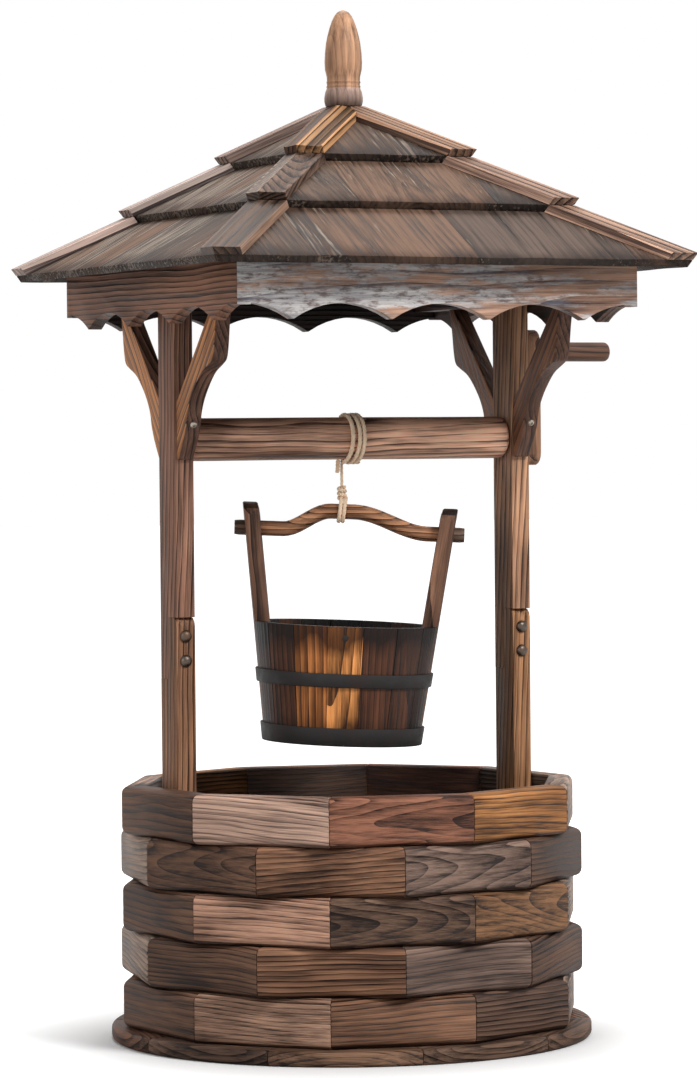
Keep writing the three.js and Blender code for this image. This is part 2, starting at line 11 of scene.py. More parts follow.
import bmesh
import bpy
from mathutils import Matrix, Vector, noise
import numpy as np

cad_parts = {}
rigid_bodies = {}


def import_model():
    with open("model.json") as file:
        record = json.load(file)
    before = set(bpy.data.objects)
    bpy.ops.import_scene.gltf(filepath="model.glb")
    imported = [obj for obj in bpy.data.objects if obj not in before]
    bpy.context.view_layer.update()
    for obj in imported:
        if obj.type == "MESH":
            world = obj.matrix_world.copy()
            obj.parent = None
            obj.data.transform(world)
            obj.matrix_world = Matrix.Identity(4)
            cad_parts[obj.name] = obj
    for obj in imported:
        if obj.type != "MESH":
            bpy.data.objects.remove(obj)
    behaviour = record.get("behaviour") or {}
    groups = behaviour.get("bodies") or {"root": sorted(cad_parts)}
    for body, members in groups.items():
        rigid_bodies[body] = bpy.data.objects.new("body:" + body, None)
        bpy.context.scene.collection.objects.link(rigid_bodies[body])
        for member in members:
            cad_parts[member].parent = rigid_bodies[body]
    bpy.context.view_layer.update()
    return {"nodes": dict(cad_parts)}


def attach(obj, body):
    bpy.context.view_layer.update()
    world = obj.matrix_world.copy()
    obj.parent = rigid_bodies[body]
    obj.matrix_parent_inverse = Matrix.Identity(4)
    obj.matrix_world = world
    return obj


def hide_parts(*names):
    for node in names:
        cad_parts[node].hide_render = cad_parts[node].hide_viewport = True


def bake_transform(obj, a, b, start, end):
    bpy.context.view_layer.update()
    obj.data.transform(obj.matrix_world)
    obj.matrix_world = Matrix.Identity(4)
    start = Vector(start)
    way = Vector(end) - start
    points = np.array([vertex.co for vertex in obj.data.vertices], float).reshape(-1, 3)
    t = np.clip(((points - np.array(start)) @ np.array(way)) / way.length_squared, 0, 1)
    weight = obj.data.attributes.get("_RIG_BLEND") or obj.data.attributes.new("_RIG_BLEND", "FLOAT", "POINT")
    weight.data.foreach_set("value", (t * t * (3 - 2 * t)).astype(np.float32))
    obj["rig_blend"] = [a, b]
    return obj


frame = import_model()
scene = bpy.context.scene
MM = 0.001

# %% [markdown]
# ## The camera
# The picture was taken from far off with a long lens, almost level, from the front and a little to
# the left. A camera can be set by angles and a distance, which reads more plainly than a matrix
# copied from the viewport, so its three axes are worked out from them.

# %% Camera
CAMERA_TURN, CAMERA_RISE, CAMERA_ROLL = (math.radians(a) for a in (-25.46, 1.22, -0.51))
CAMERA_DISTANCE, CAMERA_LENS = 4.8192, 143.88
CAMERA_TARGET = Vector((1.0, -0.5, 552.7)) * MM


def place_camera():
    back = Vector((
        math.sin(CAMERA_TURN) * math.cos(CAMERA_RISE),
        -math.cos(CAMERA_TURN) * math.cos(CAMERA_RISE),
        math.sin(CAMERA_RISE),
    ))
    right = (-back).cross(Vector((0, 0, 1))).normalized()
    up = right.cross(-back)
    across = right * math.cos(CAMERA_ROLL) + up * math.sin(CAMERA_ROLL)
    above = up * math.cos(CAMERA_ROLL) - right * math.sin(CAMERA_ROLL)
    data = bpy.data.cameras.new("camera")
    data.sensor_width, data.lens, data.clip_end = 36, CAMERA_LENS, 100
    camera = bpy.data.objects.new("camera", data)
    scene.collection.objects.link(camera)
    axes = Matrix((across, above, back)).transposed().to_4x4()
    camera.matrix_world = Matrix.Translation(CAMERA_TARGET + back * CAMERA_DISTANCE) @ axes
    scene.camera = camera
    return camera


camera = place_camera()
print("camera stands at", [round(c, 3) for c in camera.matrix_world.translation])

# %% [markdown]
# ## Sizes that many pieces share
# These are the same values as in the model's own source, in millimetres, so a block or a board
# made here fills the place of its solid.

# %% Shared sizes
CUT_GAP = 0.3
AXLE_HEIGHT = 666
ROLLER_RADIUS, ROLLER_HALF = 24, 194.4
ROPE_PLACE = -6.4
BAR_MIDDLE = 584.6
BUCKET_TURN, BUCKET_LEAN = math.radians(-25.5), math.radians(2.6)
TIE_OFFSET = -9
hang_matrix = (
    Matrix.Translation(Vector((ROPE_PLACE, 0, BAR_MIDDLE)) * MM)
    @ Matrix.Rotation(BUCKET_TURN, 4, "Z")
    @ Matrix.Rotation(BUCKET_LEAN, 4, "Y")
    @ Matrix.Translation(Vector((-TIE_OFFSET, 0, -BAR_MIDDLE)) * MM)
)
print("bucket hangs turned", round(math.degrees(BUCKET_TURN), 1), "degrees")

# %% [markdown]
# ## Colours
# Shader colours are linear, while anyone choosing a brown thinks in the values seen on a screen, so
# tone() turns one into the other.

# %% Colours
def tone(red, green, blue):
    """A colour as seen on a screen, turned into the linear values that shaders use."""
    def line(value):
        share = value / 255
        return share / 12.92 if share <= 0.04045 else ((share + 0.055) / 1.055) ** 2.4
    return (line(red), line(green), line(blue), 1)


print("umber in linear values:", [round(c, 3) for c in tone(92, 70, 58)])

# %% [markdown]
# ## A shop for finishes
# A finish is a small web of nodes, and adding and joining them one by one takes many lines. The Shop has
# a short word for each step that comes back often: a noise, a range, a sum, a blend and a bump. So
# the recipe of a finish stays short enough to read.

# %% A shop for finishes
class Shop:
    """Short ways to add and join nodes in one material."""

    def __init__(self, name):
        self.material = bpy.data.materials.new(name)
        self.material.use_nodes = True
        self.tree = self.material.node_tree
        self.shader = self.tree.nodes["Principled BSDF"]

    def add(self, kind, settings=None, **inputs):
        made = self.tree.nodes.new(kind)
        for key, value in (settings or {}).items():
            setattr(made, key, value)
        for key, value in inputs.items():
            self.feed(made.inputs[int(key[1:]) if key[1:].isdigit() else key.replace("_", " ")], value)
        return made

    def feed(self, socket, value):
        if isinstance(value, bpy.types.NodeSocket):
            self.tree.links.new(value, socket)
        else:
            socket.default_value = value

    def stretch(self, vector, scale, shift=(0, 0, 0)):
        return self.add("ShaderNodeMapping", Vector=vector, Scale=scale, Location=shift).outputs[0]

    def speckle(self, vector, detail=2.0, rough=0.5, scale=1.0):
        made = self.add("ShaderNodeTexNoise", Vector=vector, Scale=scale, Detail=detail, Roughness=rough)
        return made.outputs["Fac"]

    def span(self, value, low, high, to_low, to_high):
        made = self.add("ShaderNodeMapRange", Value=value)
        for key, number in (("From Min", low), ("From Max", high), ("To Min", to_low), ("To Max", to_high)):
            made.inputs[key].default_value = number
        return made.outputs[0]

    def sum(self, operation, first, second):
        return self.add("ShaderNodeMath", {"operation": operation}, _0=first, _1=second).outputs[0]

    def scaled(self, value, factor, more):
        """value * factor + more"""
        made = self.add("ShaderNodeMath", {"operation": "MULTIPLY_ADD"}, _0=value, _1=factor, _2=more)
        return made.outputs[0]

    def filtered(self, colour, factors):
        """A colour with its red, green and blue each multiplied."""
        return self.add("ShaderNodeVectorMath", {"operation": "MULTIPLY"}, _0=colour, _1=factors).outputs[0]

    def blend(self, share, first, second):
        made = self.add("ShaderNodeMix", {"data_type": "RGBA"})
        self.feed(made.inputs["Factor"], share)
        self.feed(made.inputs[6], first)
        self.feed(made.inputs[7], second)
        return made.outputs[2]

    def bump(self, height, strength, distance):
        made = self.add("ShaderNodeBump", Height=height, Strength=strength, Distance=distance)
        self.feed(self.shader.inputs["Normal"], made.outputs[0])


print("steps in the shop:", [name for name in dir(Shop) if not name.startswith("_")])

# %% [markdown]
# ## Putting a piece on its body
# Every mesh made here becomes an object that rides on the body it moves with and stands for the
# plain solid of the same piece, where the model has one. Doing all of it in one place means that no
# piece can be left standing still when the crank turns. Only the rope's fall is given no body here,
# because it stretches between two.


def finish_piece(name, bm, body, material, stands_for=(), smooth_angle=35):
    bmesh.ops.recalc_face_normals(bm, faces=bm.faces)
    mesh = bpy.data.meshes.new(name)
    bm.to_mesh(mesh)
    bm.free()
    return finish_mesh(name, mesh, body, material, stands_for, smooth_angle)


def finish_mesh(name, mesh, body, material, stands_for=(), smooth_angle=35):
    mesh.materials.clear()
    mesh.materials.append(material)
    mesh.polygons.foreach_set("use_smooth", [True] * len(mesh.polygons))
    mesh.set_sharp_from_angle(angle=math.radians(smooth_angle))
    piece = bpy.data.objects.new(name, mesh)
    scene.collection.objects.link(piece)
    if body:
        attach(piece, body)
    for node in stands_for:
        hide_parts(node)
    return piece


# %% [markdown]
# ## The rope's fibre
# The rope is pale natural fibre. Two close tones in soft patches keep it from being one flat colour, and
# a fine bump with a little sheen makes it hairy instead of smooth like plastic cord. The cut tail gets a
# darker fibre, because its frayed end is dirty.

# %% Rope fibre
def make_fibre(name, pale, dirty):
    shop = Shop(name)
    place = shop.add("ShaderNodeTexCoord").outputs["Object"]
    patch = shop.speckle(place, 3.0, 0.6, 130.0)
    hairs = shop.speckle(place, 3.0, 0.7, 1400.0)
    dirt = shop.span(patch, 0.4, 0.7, 0.0, 0.7)
    shop.feed(shop.shader.inputs["Base Color"], shop.blend(dirt, pale, dirty))
    shop.shader.inputs["Roughness"].default_value = 0.85
    shop.shader.inputs["Sheen Weight"].default_value = 0.25
    shop.bump(hairs, 0.5, 0.0004)
    return shop.material


rope_fibre = make_fibre("laid_fibre", tone(255, 230, 200), tone(246, 206, 170))
tail_fibre = make_fibre("cut_fibre", tone(244, 210, 174), tone(206, 168, 130))
print("rope finishes:", rope_fibre.name, tail_fibre.name)

# %% [markdown]
# ## Laying three strands
# Laid rope is three strands twisted round each other. A tube with a twisted bump would be quicker, but
# its outline would stay smooth. So each strand is a curve with a round bevel that winds round the
# rope's middle line, and the twist is real and catches the light.

# %% Laying three strands
ROPE_RADIUS, ROPE_LAY, LAY_STEPS = 2.5, 15.0, 8
STRAND_OFFSET, STRAND_RADIUS = 0.48, 0.54


def strand_lines(line, radius, lay):
    """The middle lines of three strands that twist round a line of points in millimetres."""
    points = [Vector(p) for p in line]
    spacing = lay / LAY_STEPS
    dense = [points[0]]
    for first, second in zip(points, points[1:]):
        count = max(1, round((second - first).length / spacing))
        dense += [first.lerp(second, (i + 1) / count) for i in range(count)]
    side = (dense[1] - dense[0]).orthogonal().normalized()
    strands = [[], [], []]
    travelled = 0.0
    for i, point in enumerate(dense):
        ahead = (dense[min(i + 1, len(dense) - 1)] - dense[max(i - 1, 0)]).normalized()
        side = (side - ahead * side.dot(ahead)).normalized()
        other = ahead.cross(side)
        if i:
            travelled += (point - dense[i - 1]).length
        for k in range(3):
            angle = 2 * math.pi * (travelled / lay + k / 3)
            offset = side * math.cos(angle) + other * math.sin(angle)
            strands[k].append(point + offset * radius * STRAND_OFFSET)
    return strands


def laid_rope(name, line, radius, body, material, stands_for=(), lay=ROPE_LAY):
    data = bpy.data.curves.new(name, "CURVE")
    data.dimensions, data.bevel_depth, data.bevel_resolution = "3D", radius * STRAND_RADIUS * MM, 2
    data.use_fill_caps = True
    for strand in strand_lines(line, radius, lay):
        spline = data.splines.new("POLY")
        spline.points.add(len(strand) - 1)
        for target, point in zip(spline.points, strand):
            target.co = (*(point * MM), 1)
    holder = bpy.data.objects.new(name + "_line", data)
    scene.collection.objects.link(holder)
    graph = bpy.context.evaluated_depsgraph_get()
    mesh = bpy.data.meshes.new_from_object(holder.evaluated_get(graph))
    bpy.data.objects.remove(holder)
    mesh.name = name
    return finish_mesh(name, mesh, body, material, stands_for, smooth_angle=60)


print("rope is", 2 * ROPE_RADIUS, "mm thick")

# %% [markdown]
# ## Three turns on the roller
# The rope lies in three turns on the roller, a little apart, and they go round with the windlass. The
# table says how far along the roller the rope has come after so many turns, because the real turns
# aren't evenly spaced. The cut tail hangs beside them.

# %% Turns on the roller
WIND_RADIUS = ROLLER_RADIUS + ROPE_RADIUS + CUT_GAP
TURN_COUNT, TURN_STEPS, TURN_SINK = 3, 48, 0.3
strand_turns, strand_places = [0, 0.25, 1.25, 2.25, 3], [-6.4, -4.4, 4.2, 9.9, 14.2]


def strand_place(turns):
    for i in range(1, 5):
        if turns <= strand_turns[i]:
            share = (turns - strand_turns[i - 1]) / (strand_turns[i] - strand_turns[i - 1])
            return strand_places[i - 1] + share * (strand_places[i] - strand_places[i - 1])
    return strand_places[-1]


winding = []
for i in range(TURN_COUNT * TURN_STEPS + 1):
    turned = i / TURN_STEPS
    angle = -math.pi / 2 - turned * 2 * math.pi
    height = AXLE_HEIGHT + (WIND_RADIUS - TURN_SINK) * math.sin(angle)
    winding.append((strand_place(turned), (WIND_RADIUS - TURN_SINK) * math.cos(angle), height))
turns = laid_rope("rope_turns", winding, ROPE_RADIUS, "windlass", rope_fibre, ["rope_winding"])
tail_line = [(-13.5, -6, 642), (-13.6, -5, 638), (-13.2, -4, 633), (-13.4, -3.5, 628.5)]
tail = laid_rope("rope_tail", tail_line, ROPE_RADIUS, "windlass", tail_fibre, lay=11)
print("points on the winding:", len(winding))

# %% [markdown] ## Fall, hitch and loops Below the roller the rope falls straight to a hitch above the
# bucket's bar, and two loops go round the bar. The hitch and the loops ride with the bar.

# %% Fall, hitch and loops
FALL_TOP, KNOT_TOP = 636.4, 613.0
FALL_STEP, FALL_STEPS, FALL_THINNING, FALL_HIDDEN = 1.35, 20, 0.7, 2
KNOT_RADIUS, KNOT_DROP, KNOT_TURNS, KNOT_STEPS, KNOT_GAP = 3.4, 12.5, 2.5, 60, 1
LOOP_RADIUS, LOOP_LIFT, LOOP_SLANT, LOOP_STEPS, TIE_RADIUS, TIE_LAY = 11.0, 1.4, 1.2, 40, 2.3, 13
fall = laid_rope(
    "rope_drop", [(ROPE_PLACE, 0, FALL_TOP + FALL_HIDDEN - i * FALL_STEP) for i in range(FALL_STEPS)],
    ROPE_RADIUS * FALL_THINNING, None, rope_fibre, ["rope_fall"],
)
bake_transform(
    fall, "root", "bucket_hanger", (ROPE_PLACE * MM, 0, FALL_TOP * MM), (ROPE_PLACE * MM, 0, KNOT_TOP * MM),
)
knot = []
for i in range(KNOT_STEPS + 1):
    a = 2 * math.pi * KNOT_TURNS * i / KNOT_STEPS
    height = KNOT_TOP - KNOT_GAP - KNOT_DROP * i / KNOT_STEPS
    knot.append((ROPE_PLACE + KNOT_RADIUS * math.cos(a), KNOT_RADIUS * math.sin(a), height))
hitch = laid_rope("rope_knot", knot, TIE_RADIUS, "bucket_hanger", rope_fibre, ["rope_hitch"], lay=TIE_LAY)
for number, offset in enumerate((-TIE_RADIUS, TIE_RADIUS)):
    loop = []
    for i in range(LOOP_STEPS + 1):
        a = math.pi / 2 + 2 * math.pi * i / LOOP_STEPS
        rise = LOOP_RADIUS * math.sin(a) * (LOOP_LIFT if math.sin(a) > 0 else 1)
        along_bar = TIE_OFFSET + offset + LOOP_SLANT * math.sin(a)
        place = (along_bar, LOOP_RADIUS * math.cos(a), BAR_MIDDLE + rise)
        loop.append(hang_matrix @ (Vector(place) * MM) / MM)
    name = f"rope_loop_{number + 1}"
    laid_rope(name, loop, TIE_RADIUS, "bucket_hanger", rope_fibre, lay=TIE_LAY)

# %% [markdown]
# ## Brushed, scorched timber
# The whole well is softwood that was scorched and then brushed, so the hard winter rings stand up as
# fine ridges and the tone runs from orange to nearly black. An image would stretch at the mitres,
# so the grain is worked out in depth: rings round the tree's heart, cut wherever the piece was
# sawn. Each piece carries two attributes. The first, "grain", holds its own length, width and depth
# directions, so that the rings run along the block whichever way it is built in, and the second holds the
# tone of that one board, how burnt it is and, on many faces, painted shade and painted highlights. First
# comes the sway: two noises, one slow and one quick, move the rings sideways and never along the board,
# as a real trunk's do.

# %% Grain that sways
SWAYS = ((0, (5, 11, 11), 0.011), (5, (16, 36, 36), 0.0018))


def sway_grain(shop, grain, sway):
    swayed = grain
    for start, frequency, reach in SWAYS:
        place = shop.stretch(grain, frequency, (start, 0, 0))
        drift = shop.add("ShaderNodeTexNoise", Vector=place, Scale=1.0, Detail=1.0).outputs["Color"]
        centred = shop.add("ShaderNodeVectorMath", {"operation": "SUBTRACT"}, _0=drift, _1=(0.5, 0.5, 0.5))
        swayed = shop.add(
            "ShaderNodeVectorMath", {"operation": "MULTIPLY_ADD"},
            _0=centred.outputs[0], _1=(0.0, 2 * sway * reach, 2 * sway * reach), _2=swayed,
        ).outputs[0]
    return swayed


print("reach of the two sways in mm:", [round(reach / MM, 1) for _, _, reach in SWAYS])

# %% [markdown]
# ## Bleached and chalky places
# Weather has bleached fine strokes into the roof, most of all on its left slope, and left the front
# fascia grey and chalky, but worn bare along its top edge and to the right. Both are a pale tone
# mixed over the wood where a noise passes a threshold, so that their edges break up along the grain.

# %% Bleached and chalky places
TOP_EDGE = 0.8699
bleached_tone, worn_tone = tone(190, 174, 156), tone(76, 66, 66)
dull_chalk, bright_chalk = tone(100, 98, 108), tone(224, 226, 226)


def add_bleach(shop, wood, swayed, cloud, bleach):
    place = shop.add("ShaderNodeSeparateXYZ", Vector=shop.add("ShaderNodeTexCoord").outputs["Object"])
    beside = shop.sum("ADD", place.outputs[0], shop.sum("ABSOLUTE", place.outputs[1], 0.0))
    left_slope = shop.span(beside, -0.06, 0.0, 0.1, 0.0)
    stroke = shop.speckle(shop.stretch(swayed, (9, 230, 230), (1, 5, 2)), 3.0, 0.6)
    pale_share = shop.sum("ADD", stroke, shop.sum("ADD", shop.sum("MULTIPLY", cloud, 0.9), left_slope))
    return shop.blend(shop.span(pale_share, 1.06, 1.2, 0.0, bleach), wood, bleached_tone)


def add_chalk(shop, colour, grain, share, weather):
    patch = shop.speckle(shop.stretch(grain, (9, 55, 55), (2, 8, 5)), 6.0, 0.75)
    grime = shop.speckle(shop.stretch(grain, (60, 190, 190), (6, 1, 4)), 3.0, 0.7)
    chalk = shop.blend(share, dull_chalk, bright_chalk)
    chalk = shop.blend(shop.span(grime, 0.47, 0.64, 0.0, 0.85), chalk, worn_tone)
    place = shop.add("ShaderNodeSeparateXYZ", Vector=shop.add("ShaderNodeTexCoord").outputs["Object"])
    bare = shop.span(place.outputs[0], -0.2, 0.2, 0.07, -0.07)
    top = shop.span(place.outputs[2], TOP_EDGE - 0.016, TOP_EDGE - 0.002, 0.0, -0.13)
    worn = shop.sum("ADD", patch, shop.sum("ADD", bare, top))
    return shop.blend(shop.span(worn, 0.43, 0.54, 0.0, weather), colour, chalk)


print("the fascia's top edge is at", TOP_EDGE, "m")

# %% [markdown]
# ## One recipe for every wood
# A ring goes from pale spring wood to a hard dark winter line. Rings, fine fibres, streaks and cloudy
# patches add up to one share between a deep and a pale shade of the board's tone, and the burn is
# laid over that. The numbers say how strongly each of them shows, so wall, roof, battens and
# bucket can share the recipe and still look like different timber.

# %% Timber recipe
DEEP_SHADE, PALE_SHADE, CHAR_SHADE = (0.17, 0.145, 0.145), (1.92, 1.80, 1.68), (1.0, 0.84, 0.8)
WINTER_POWER, SPRING_POWER, SPRING_SHARE = 3.2, 5.0, 0.4
WOOD_GLOSS = 0.18


def make_timber(name, ring_gap=5.5, rings=0.62, fibre=1.2, scorch=0.7, ridge=0.8, rough=0.55, sway=1.0,
                streaks=1.7, patches=0.0, char=0.3, bleach=0.0, weather=0.0):
    """ring_gap is in millimetres; scorch and char say how far and how dark the wood is burnt."""
    shop = Shop(name)
    grain = shop.add("ShaderNodeAttribute", {"attribute_name": "grain"}).outputs["Vector"]
    tint = shop.add("ShaderNodeAttribute", {"attribute_name": "tint"})
    swayed = sway_grain(shop, grain, sway)
    ring = shop.add(
        "ShaderNodeTexWave", {"wave_type": "RINGS", "rings_direction": "X", "wave_profile": "SAW"},
        Vector=swayed, Scale=math.pi / 10 / (ring_gap * MM), Distortion=0.0,
    ).outputs["Fac"]
    winter = shop.sum("POWER", ring, WINTER_POWER)
    spring = shop.sum("POWER", shop.sum("SUBTRACT", 1.0, ring), SPRING_POWER)
    fine = shop.speckle(shop.stretch(grain, (14, 640, 640)), 3.0, 0.65)
    streak = shop.speckle(shop.stretch(swayed, (5, 150, 150), (3, 1, 7)), 2.0, 0.55)
    cloud = shop.speckle(shop.stretch(grain, (6, 15, 15), (9, 4, 2)), 3.0, 0.55)
    share = shop.scaled(fine, fibre, 0.62 - fibre / 2)
    share = shop.scaled(streak, streaks, shop.sum("SUBTRACT", share, streaks / 2))
    if patches:
        share = shop.scaled(cloud, -patches, shop.sum("ADD", share, patches / 2))
    share = shop.scaled(winter, -rings, share)
    share = shop.scaled(spring, SPRING_SHARE * rings, share)
    share = shop.span(share, 0.0, 1.0, 0.0, 1.0)
    board = tint.outputs["Color"]
    wood = shop.blend(share, shop.filtered(board, DEEP_SHADE), shop.filtered(board, PALE_SHADE))
    if bleach:
        wood = add_bleach(shop, wood, swayed, cloud, bleach)
    burnt = shop.filtered(wood, [char * part for part in CHAR_SHADE])
    burn = shop.scaled(tint.outputs["Alpha"], 0.5, cloud)
    colour = shop.blend(shop.span(burn, 0.44, 0.74, 0.0, scorch), wood, burnt)
    if weather:
        colour = add_chalk(shop, colour, grain, share, weather)
    shop.feed(shop.shader.inputs["Base Color"], colour)
    shop.feed(shop.shader.inputs["Roughness"], shop.span(share, 0.0, 1.0, rough - 0.1, rough + 0.1))
    shop.shader.inputs["Specular IOR Level"].default_value = WOOD_GLOSS
    shop.bump(shop.scaled(fine, 0.6, winter), ridge, 0.0014)
    return shop.material


print("a winter line is the ring to the power of", WINTER_POWER)

# %% [markdown]
# ## The timbers
# The wall's rings lie closest together and sway most. The roof is rougher, patchy and bleached. The
# battens' grain is nearly straight, with the strongest winter lines, the bucket is scorched nearly
# black, and the turned knob is smooth, with faint rings.

# %% The timbers
wall_timber = make_timber("wall_timber", ring_gap=5.2, fibre=1.5, streaks=2.1, patches=1.0, ridge=1.0)
frame_timber = make_timber("frame_timber", rings=0.7, sway=0.5)
roof_timber = make_timber(
    "roof_timber", ring_gap=8.0, rings=0.3, fibre=1.5, scorch=0.9, rough=0.65, sway=0.6, streaks=2.1,
    patches=2.0, bleach=0.7,
)
batten_timber = make_timber("batten_timber", ring_gap=7.0, rings=0.9, scorch=0.6, ridge=1.0, sway=0.12)
chalky_timber = make_timber("chalky_timber", ring_gap=9.0, rings=0.4, scorch=0.6, weather=0.85, sway=0.6)
bucket_timber = make_timber("bucket_timber", ring_gap=7.0, rings=0.7, scorch=0.97, sway=0.6, char=0.09)
log_timber = make_timber(
    "log_timber", ring_gap=6.5, rings=0.55, fibre=1.3, streaks=1.9, sway=0.8, patches=1.2,
)
turned_timber = make_timber(
    "turned_timber", ring_gap=9.0, rings=0.22, fibre=0.7, streaks=1.4, ridge=0.3, char=0.35,
)
print("timber finishes:", [m.name for m in bpy.data.materials if m.name.endswith("timber")])

# %% [markdown]
# ## Iron and steel
# The hoops are thin blackened iron and the bolts plain dark steel. Neither is one flat colour: both
# have a little brown bloom, and the hoops are dull where the soot of the scorching stays. The screws
# in the braces are zinc plated and paler.

# %% Iron and steel
def make_iron(name, clean, bloom, metallic, rough):
    shop = Shop(name)
    place = shop.add("ShaderNodeTexCoord").outputs["Object"]
    patch = shop.speckle(place, 4.0, 0.6, 45.0)
    pits = shop.speckle(place, 2.0, 0.6, 420.0)
    stained = shop.span(patch, 0.45, 0.7, 0.0, 0.8)
    shop.feed(shop.shader.inputs["Base Color"], shop.blend(stained, clean, bloom))
    shop.feed(shop.shader.inputs["Roughness"], shop.span(patch, 0.3, 0.7, rough, rough + 0.25))
    shop.shader.inputs["Metallic"].default_value = metallic
    shop.bump(pits, 0.35, 0.0004)
    return shop.material


hoop_iron = make_iron("sooty_iron", tone(22, 19, 18), tone(44, 31, 26), 0.3, 0.5)
bolt_steel = make_iron("dull_steel", tone(84, 76, 70), tone(96, 70, 52), 0.9, 0.25)
screw_zinc = make_iron("dull_zinc", tone(176, 168, 156), tone(120, 104, 90), 0.85, 0.35)
print("metal finishes:", hoop_iron.name, bolt_steel.name, screw_zinc.name)

# %% [markdown]
# ## The tone of a piece
# A board's tone is written on the corners of its faces and not on its points, because a corner
# belongs to one face only. So the underside of a block can be darker than its front right up to the
# edge between them.

# %% Tone of a piece
def lay_tone(piece, colour, lift, shading=None):
    """Writes the tone on every corner, and how burnt it is in the fourth value.

    shading(place, normal) gives a lift, a burn and, where a side has its own, a tone. The lift, and on
    some faces the burn, is painted shade and painted highlight set by which way a face looks.
    """
    mesh = piece.data
    shades = []
    for polygon in mesh.polygons:
        for corner in polygon.loop_indices:
            share, burn, own = 1, 0, colour
            if shading:
                place = mesh.vertices[mesh.loops[corner].vertex_index].co
                share, burn, *rest = shading(place, polygon.normal)
                own = rest[0] if rest else colour
            shades += [min(1, channel * lift * share) for channel in own[:3]] + [burn]
    mesh.attributes.new("tint", "FLOAT_COLOR", "CORNER").data.foreach_set("color", shades)


# %% [markdown]
# ## Where a piece sat in its tree
# lay_grain writes each point's length, width and depth along the grain. The heart of the tree is put
# a random way behind the face and a little out of line, which is what makes arches in one board and
# straight lines in the next. Every piece has its own seed, so it comes out the same each time.

# %% Grain of a piece
ARCHED_SHARE, ARCH_CLOSENESS, ARCH_OFFSET, HEART_DEPTH = 0.3, 1.4, 0.012, (0.012, 0.03)


def lay_grain(piece, along, face, seed, colour, spread=0.06, slant=0.05, arched=None, shading=None,
              start=None, heart=(0.03, 0.1)):
    """Writes where the piece sat in its tree, and then its tone. Distances are in metres."""
    chance = random.Random(seed)
    along = Vector(along).normalized()
    side = Vector(face).cross(along).normalized()
    depth = along.cross(side)
    if arched is None:
        arched = chance.random() < ARCHED_SHARE
    if arched:
        off_heart = chance.uniform(-ARCH_OFFSET, ARCH_OFFSET)
    else:
        off_heart = chance.choice((-1, 1)) * chance.uniform(*heart)
    if start is None:
        start = chance.uniform(0, 9)
    shift = Vector((start, off_heart, chance.uniform(*HEART_DEPTH)))
    tilt, turn = chance.uniform(-slant, slant), chance.uniform(-slant, slant)
    closer = ARCH_CLOSENESS if arched else 1
    if arched:
        tilt = math.copysign(1.2 * slant + 0.5 * abs(tilt), tilt)
    middle = sum((Vector(corner) for corner in piece.bound_box), Vector()) / 8
    values = []
    for vertex in piece.data.vertices:
        place = vertex.co - middle
        length = place.dot(along)
        values += [
            length + shift.x, closer * (place.dot(side) + shift.y + turn * length),
            closer * (place.dot(depth) + shift.z + tilt * length),
        ]
    piece.data.attributes.new("grain", "FLOAT_VECTOR", "POINT").data.foreach_set("vector", values)
    lay_tone(piece, colour, chance.uniform(1 - spread, 1 + spread), shading)


print("share of boards with arches, where it is left to chance:", ARCHED_SHARE)

# %% [markdown]
# ## Easing the edges
# No real board has edges like a razor, and a rounded edge is what catches the light. So ease_edges
# finds every edge where two faces meet sharply and rounds it. A trial cube shows what that makes.

# %% Easing the edges
def round_over(bm, edges, width, segments, clamp=True):
    bmesh.ops.bevel(
        bm, geom=edges, offset=width * MM, offset_type="OFFSET", affect="EDGES", segments=segments,
        profile=0.5, material=-1, clamp_overlap=clamp,
    )


def ease_edges(bm, width, angle=35, segments=2):
    sharp = [e for e in bm.edges if len(e.link_faces) == 2 and e.calc_face_angle() > math.radians(angle)]
    round_over(bm, sharp, width, segments)


trial = bmesh.new()
bmesh.ops.create_cube(trial, size=0.1)
ease_edges(trial, 5)
print("an eased cube has", len(trial.faces), "faces instead of 6")
trial.free()

# %% [markdown]
# ## Cutting, turning and moving
# cut_away takes off what lies beyond a plane and closes the cut, as a saw would. turn_round and move
# carry a piece that was made in an easy place to where it belongs, before it becomes an object, so that
# every object can stay at the origin. A trial cube shows that the cut is closed.

# %% Cutting, turning and moving
def slice_mesh(bm, point, normal, beyond=False):
    """Adds edges where a plane goes through, and takes off what lies beyond it if that is asked for."""
    geometry = list(bm.verts) + list(bm.edges) + list(bm.faces)
    bmesh.ops.bisect_plane(bm, geom=geometry, plane_co=point, plane_no=normal, clear_outer=beyond, dist=1e-7)


def cut_away(bm, point, normal):
    """Cuts off what lies on the side that the normal points to, and closes the cut."""
    slice_mesh(bm, point, normal, True)
    open_edges = [e for e in bm.edges if e.is_boundary]
    if open_edges:
        bmesh.ops.holes_fill(bm, edges=open_edges, sides=0)


def turn_round(bm, angle, axis="Z"):
    bmesh.ops.rotate(bm, cent=(0, 0, 0), matrix=Matrix.Rotation(angle, 3, axis), verts=bm.verts)


def move(bm, x, y, z):
    """Moves a mesh by millimetres."""
    bmesh.ops.translate(bm, vec=(x * MM, y * MM, z * MM), verts=bm.verts)


trial = bmesh.new()
bmesh.ops.create_cube(trial, size=2)
cut_away(trial, (0, 0, 0), (1, 0, 1))
print("half a cube of 8 holds", round(trial.calc_volume(), 3), "and has", len(trial.faces), "faces")
trial.free()

# %% [markdown]
# ## Starting from a cube or from the model
# Straight blocks and boards begin as a cube between two corners. Where the model already has a shape
# that matters, such as a half-lap or a scalloped edge, a copy of it gets its sharp edges rounded
# over, which keeps every cut in its place.

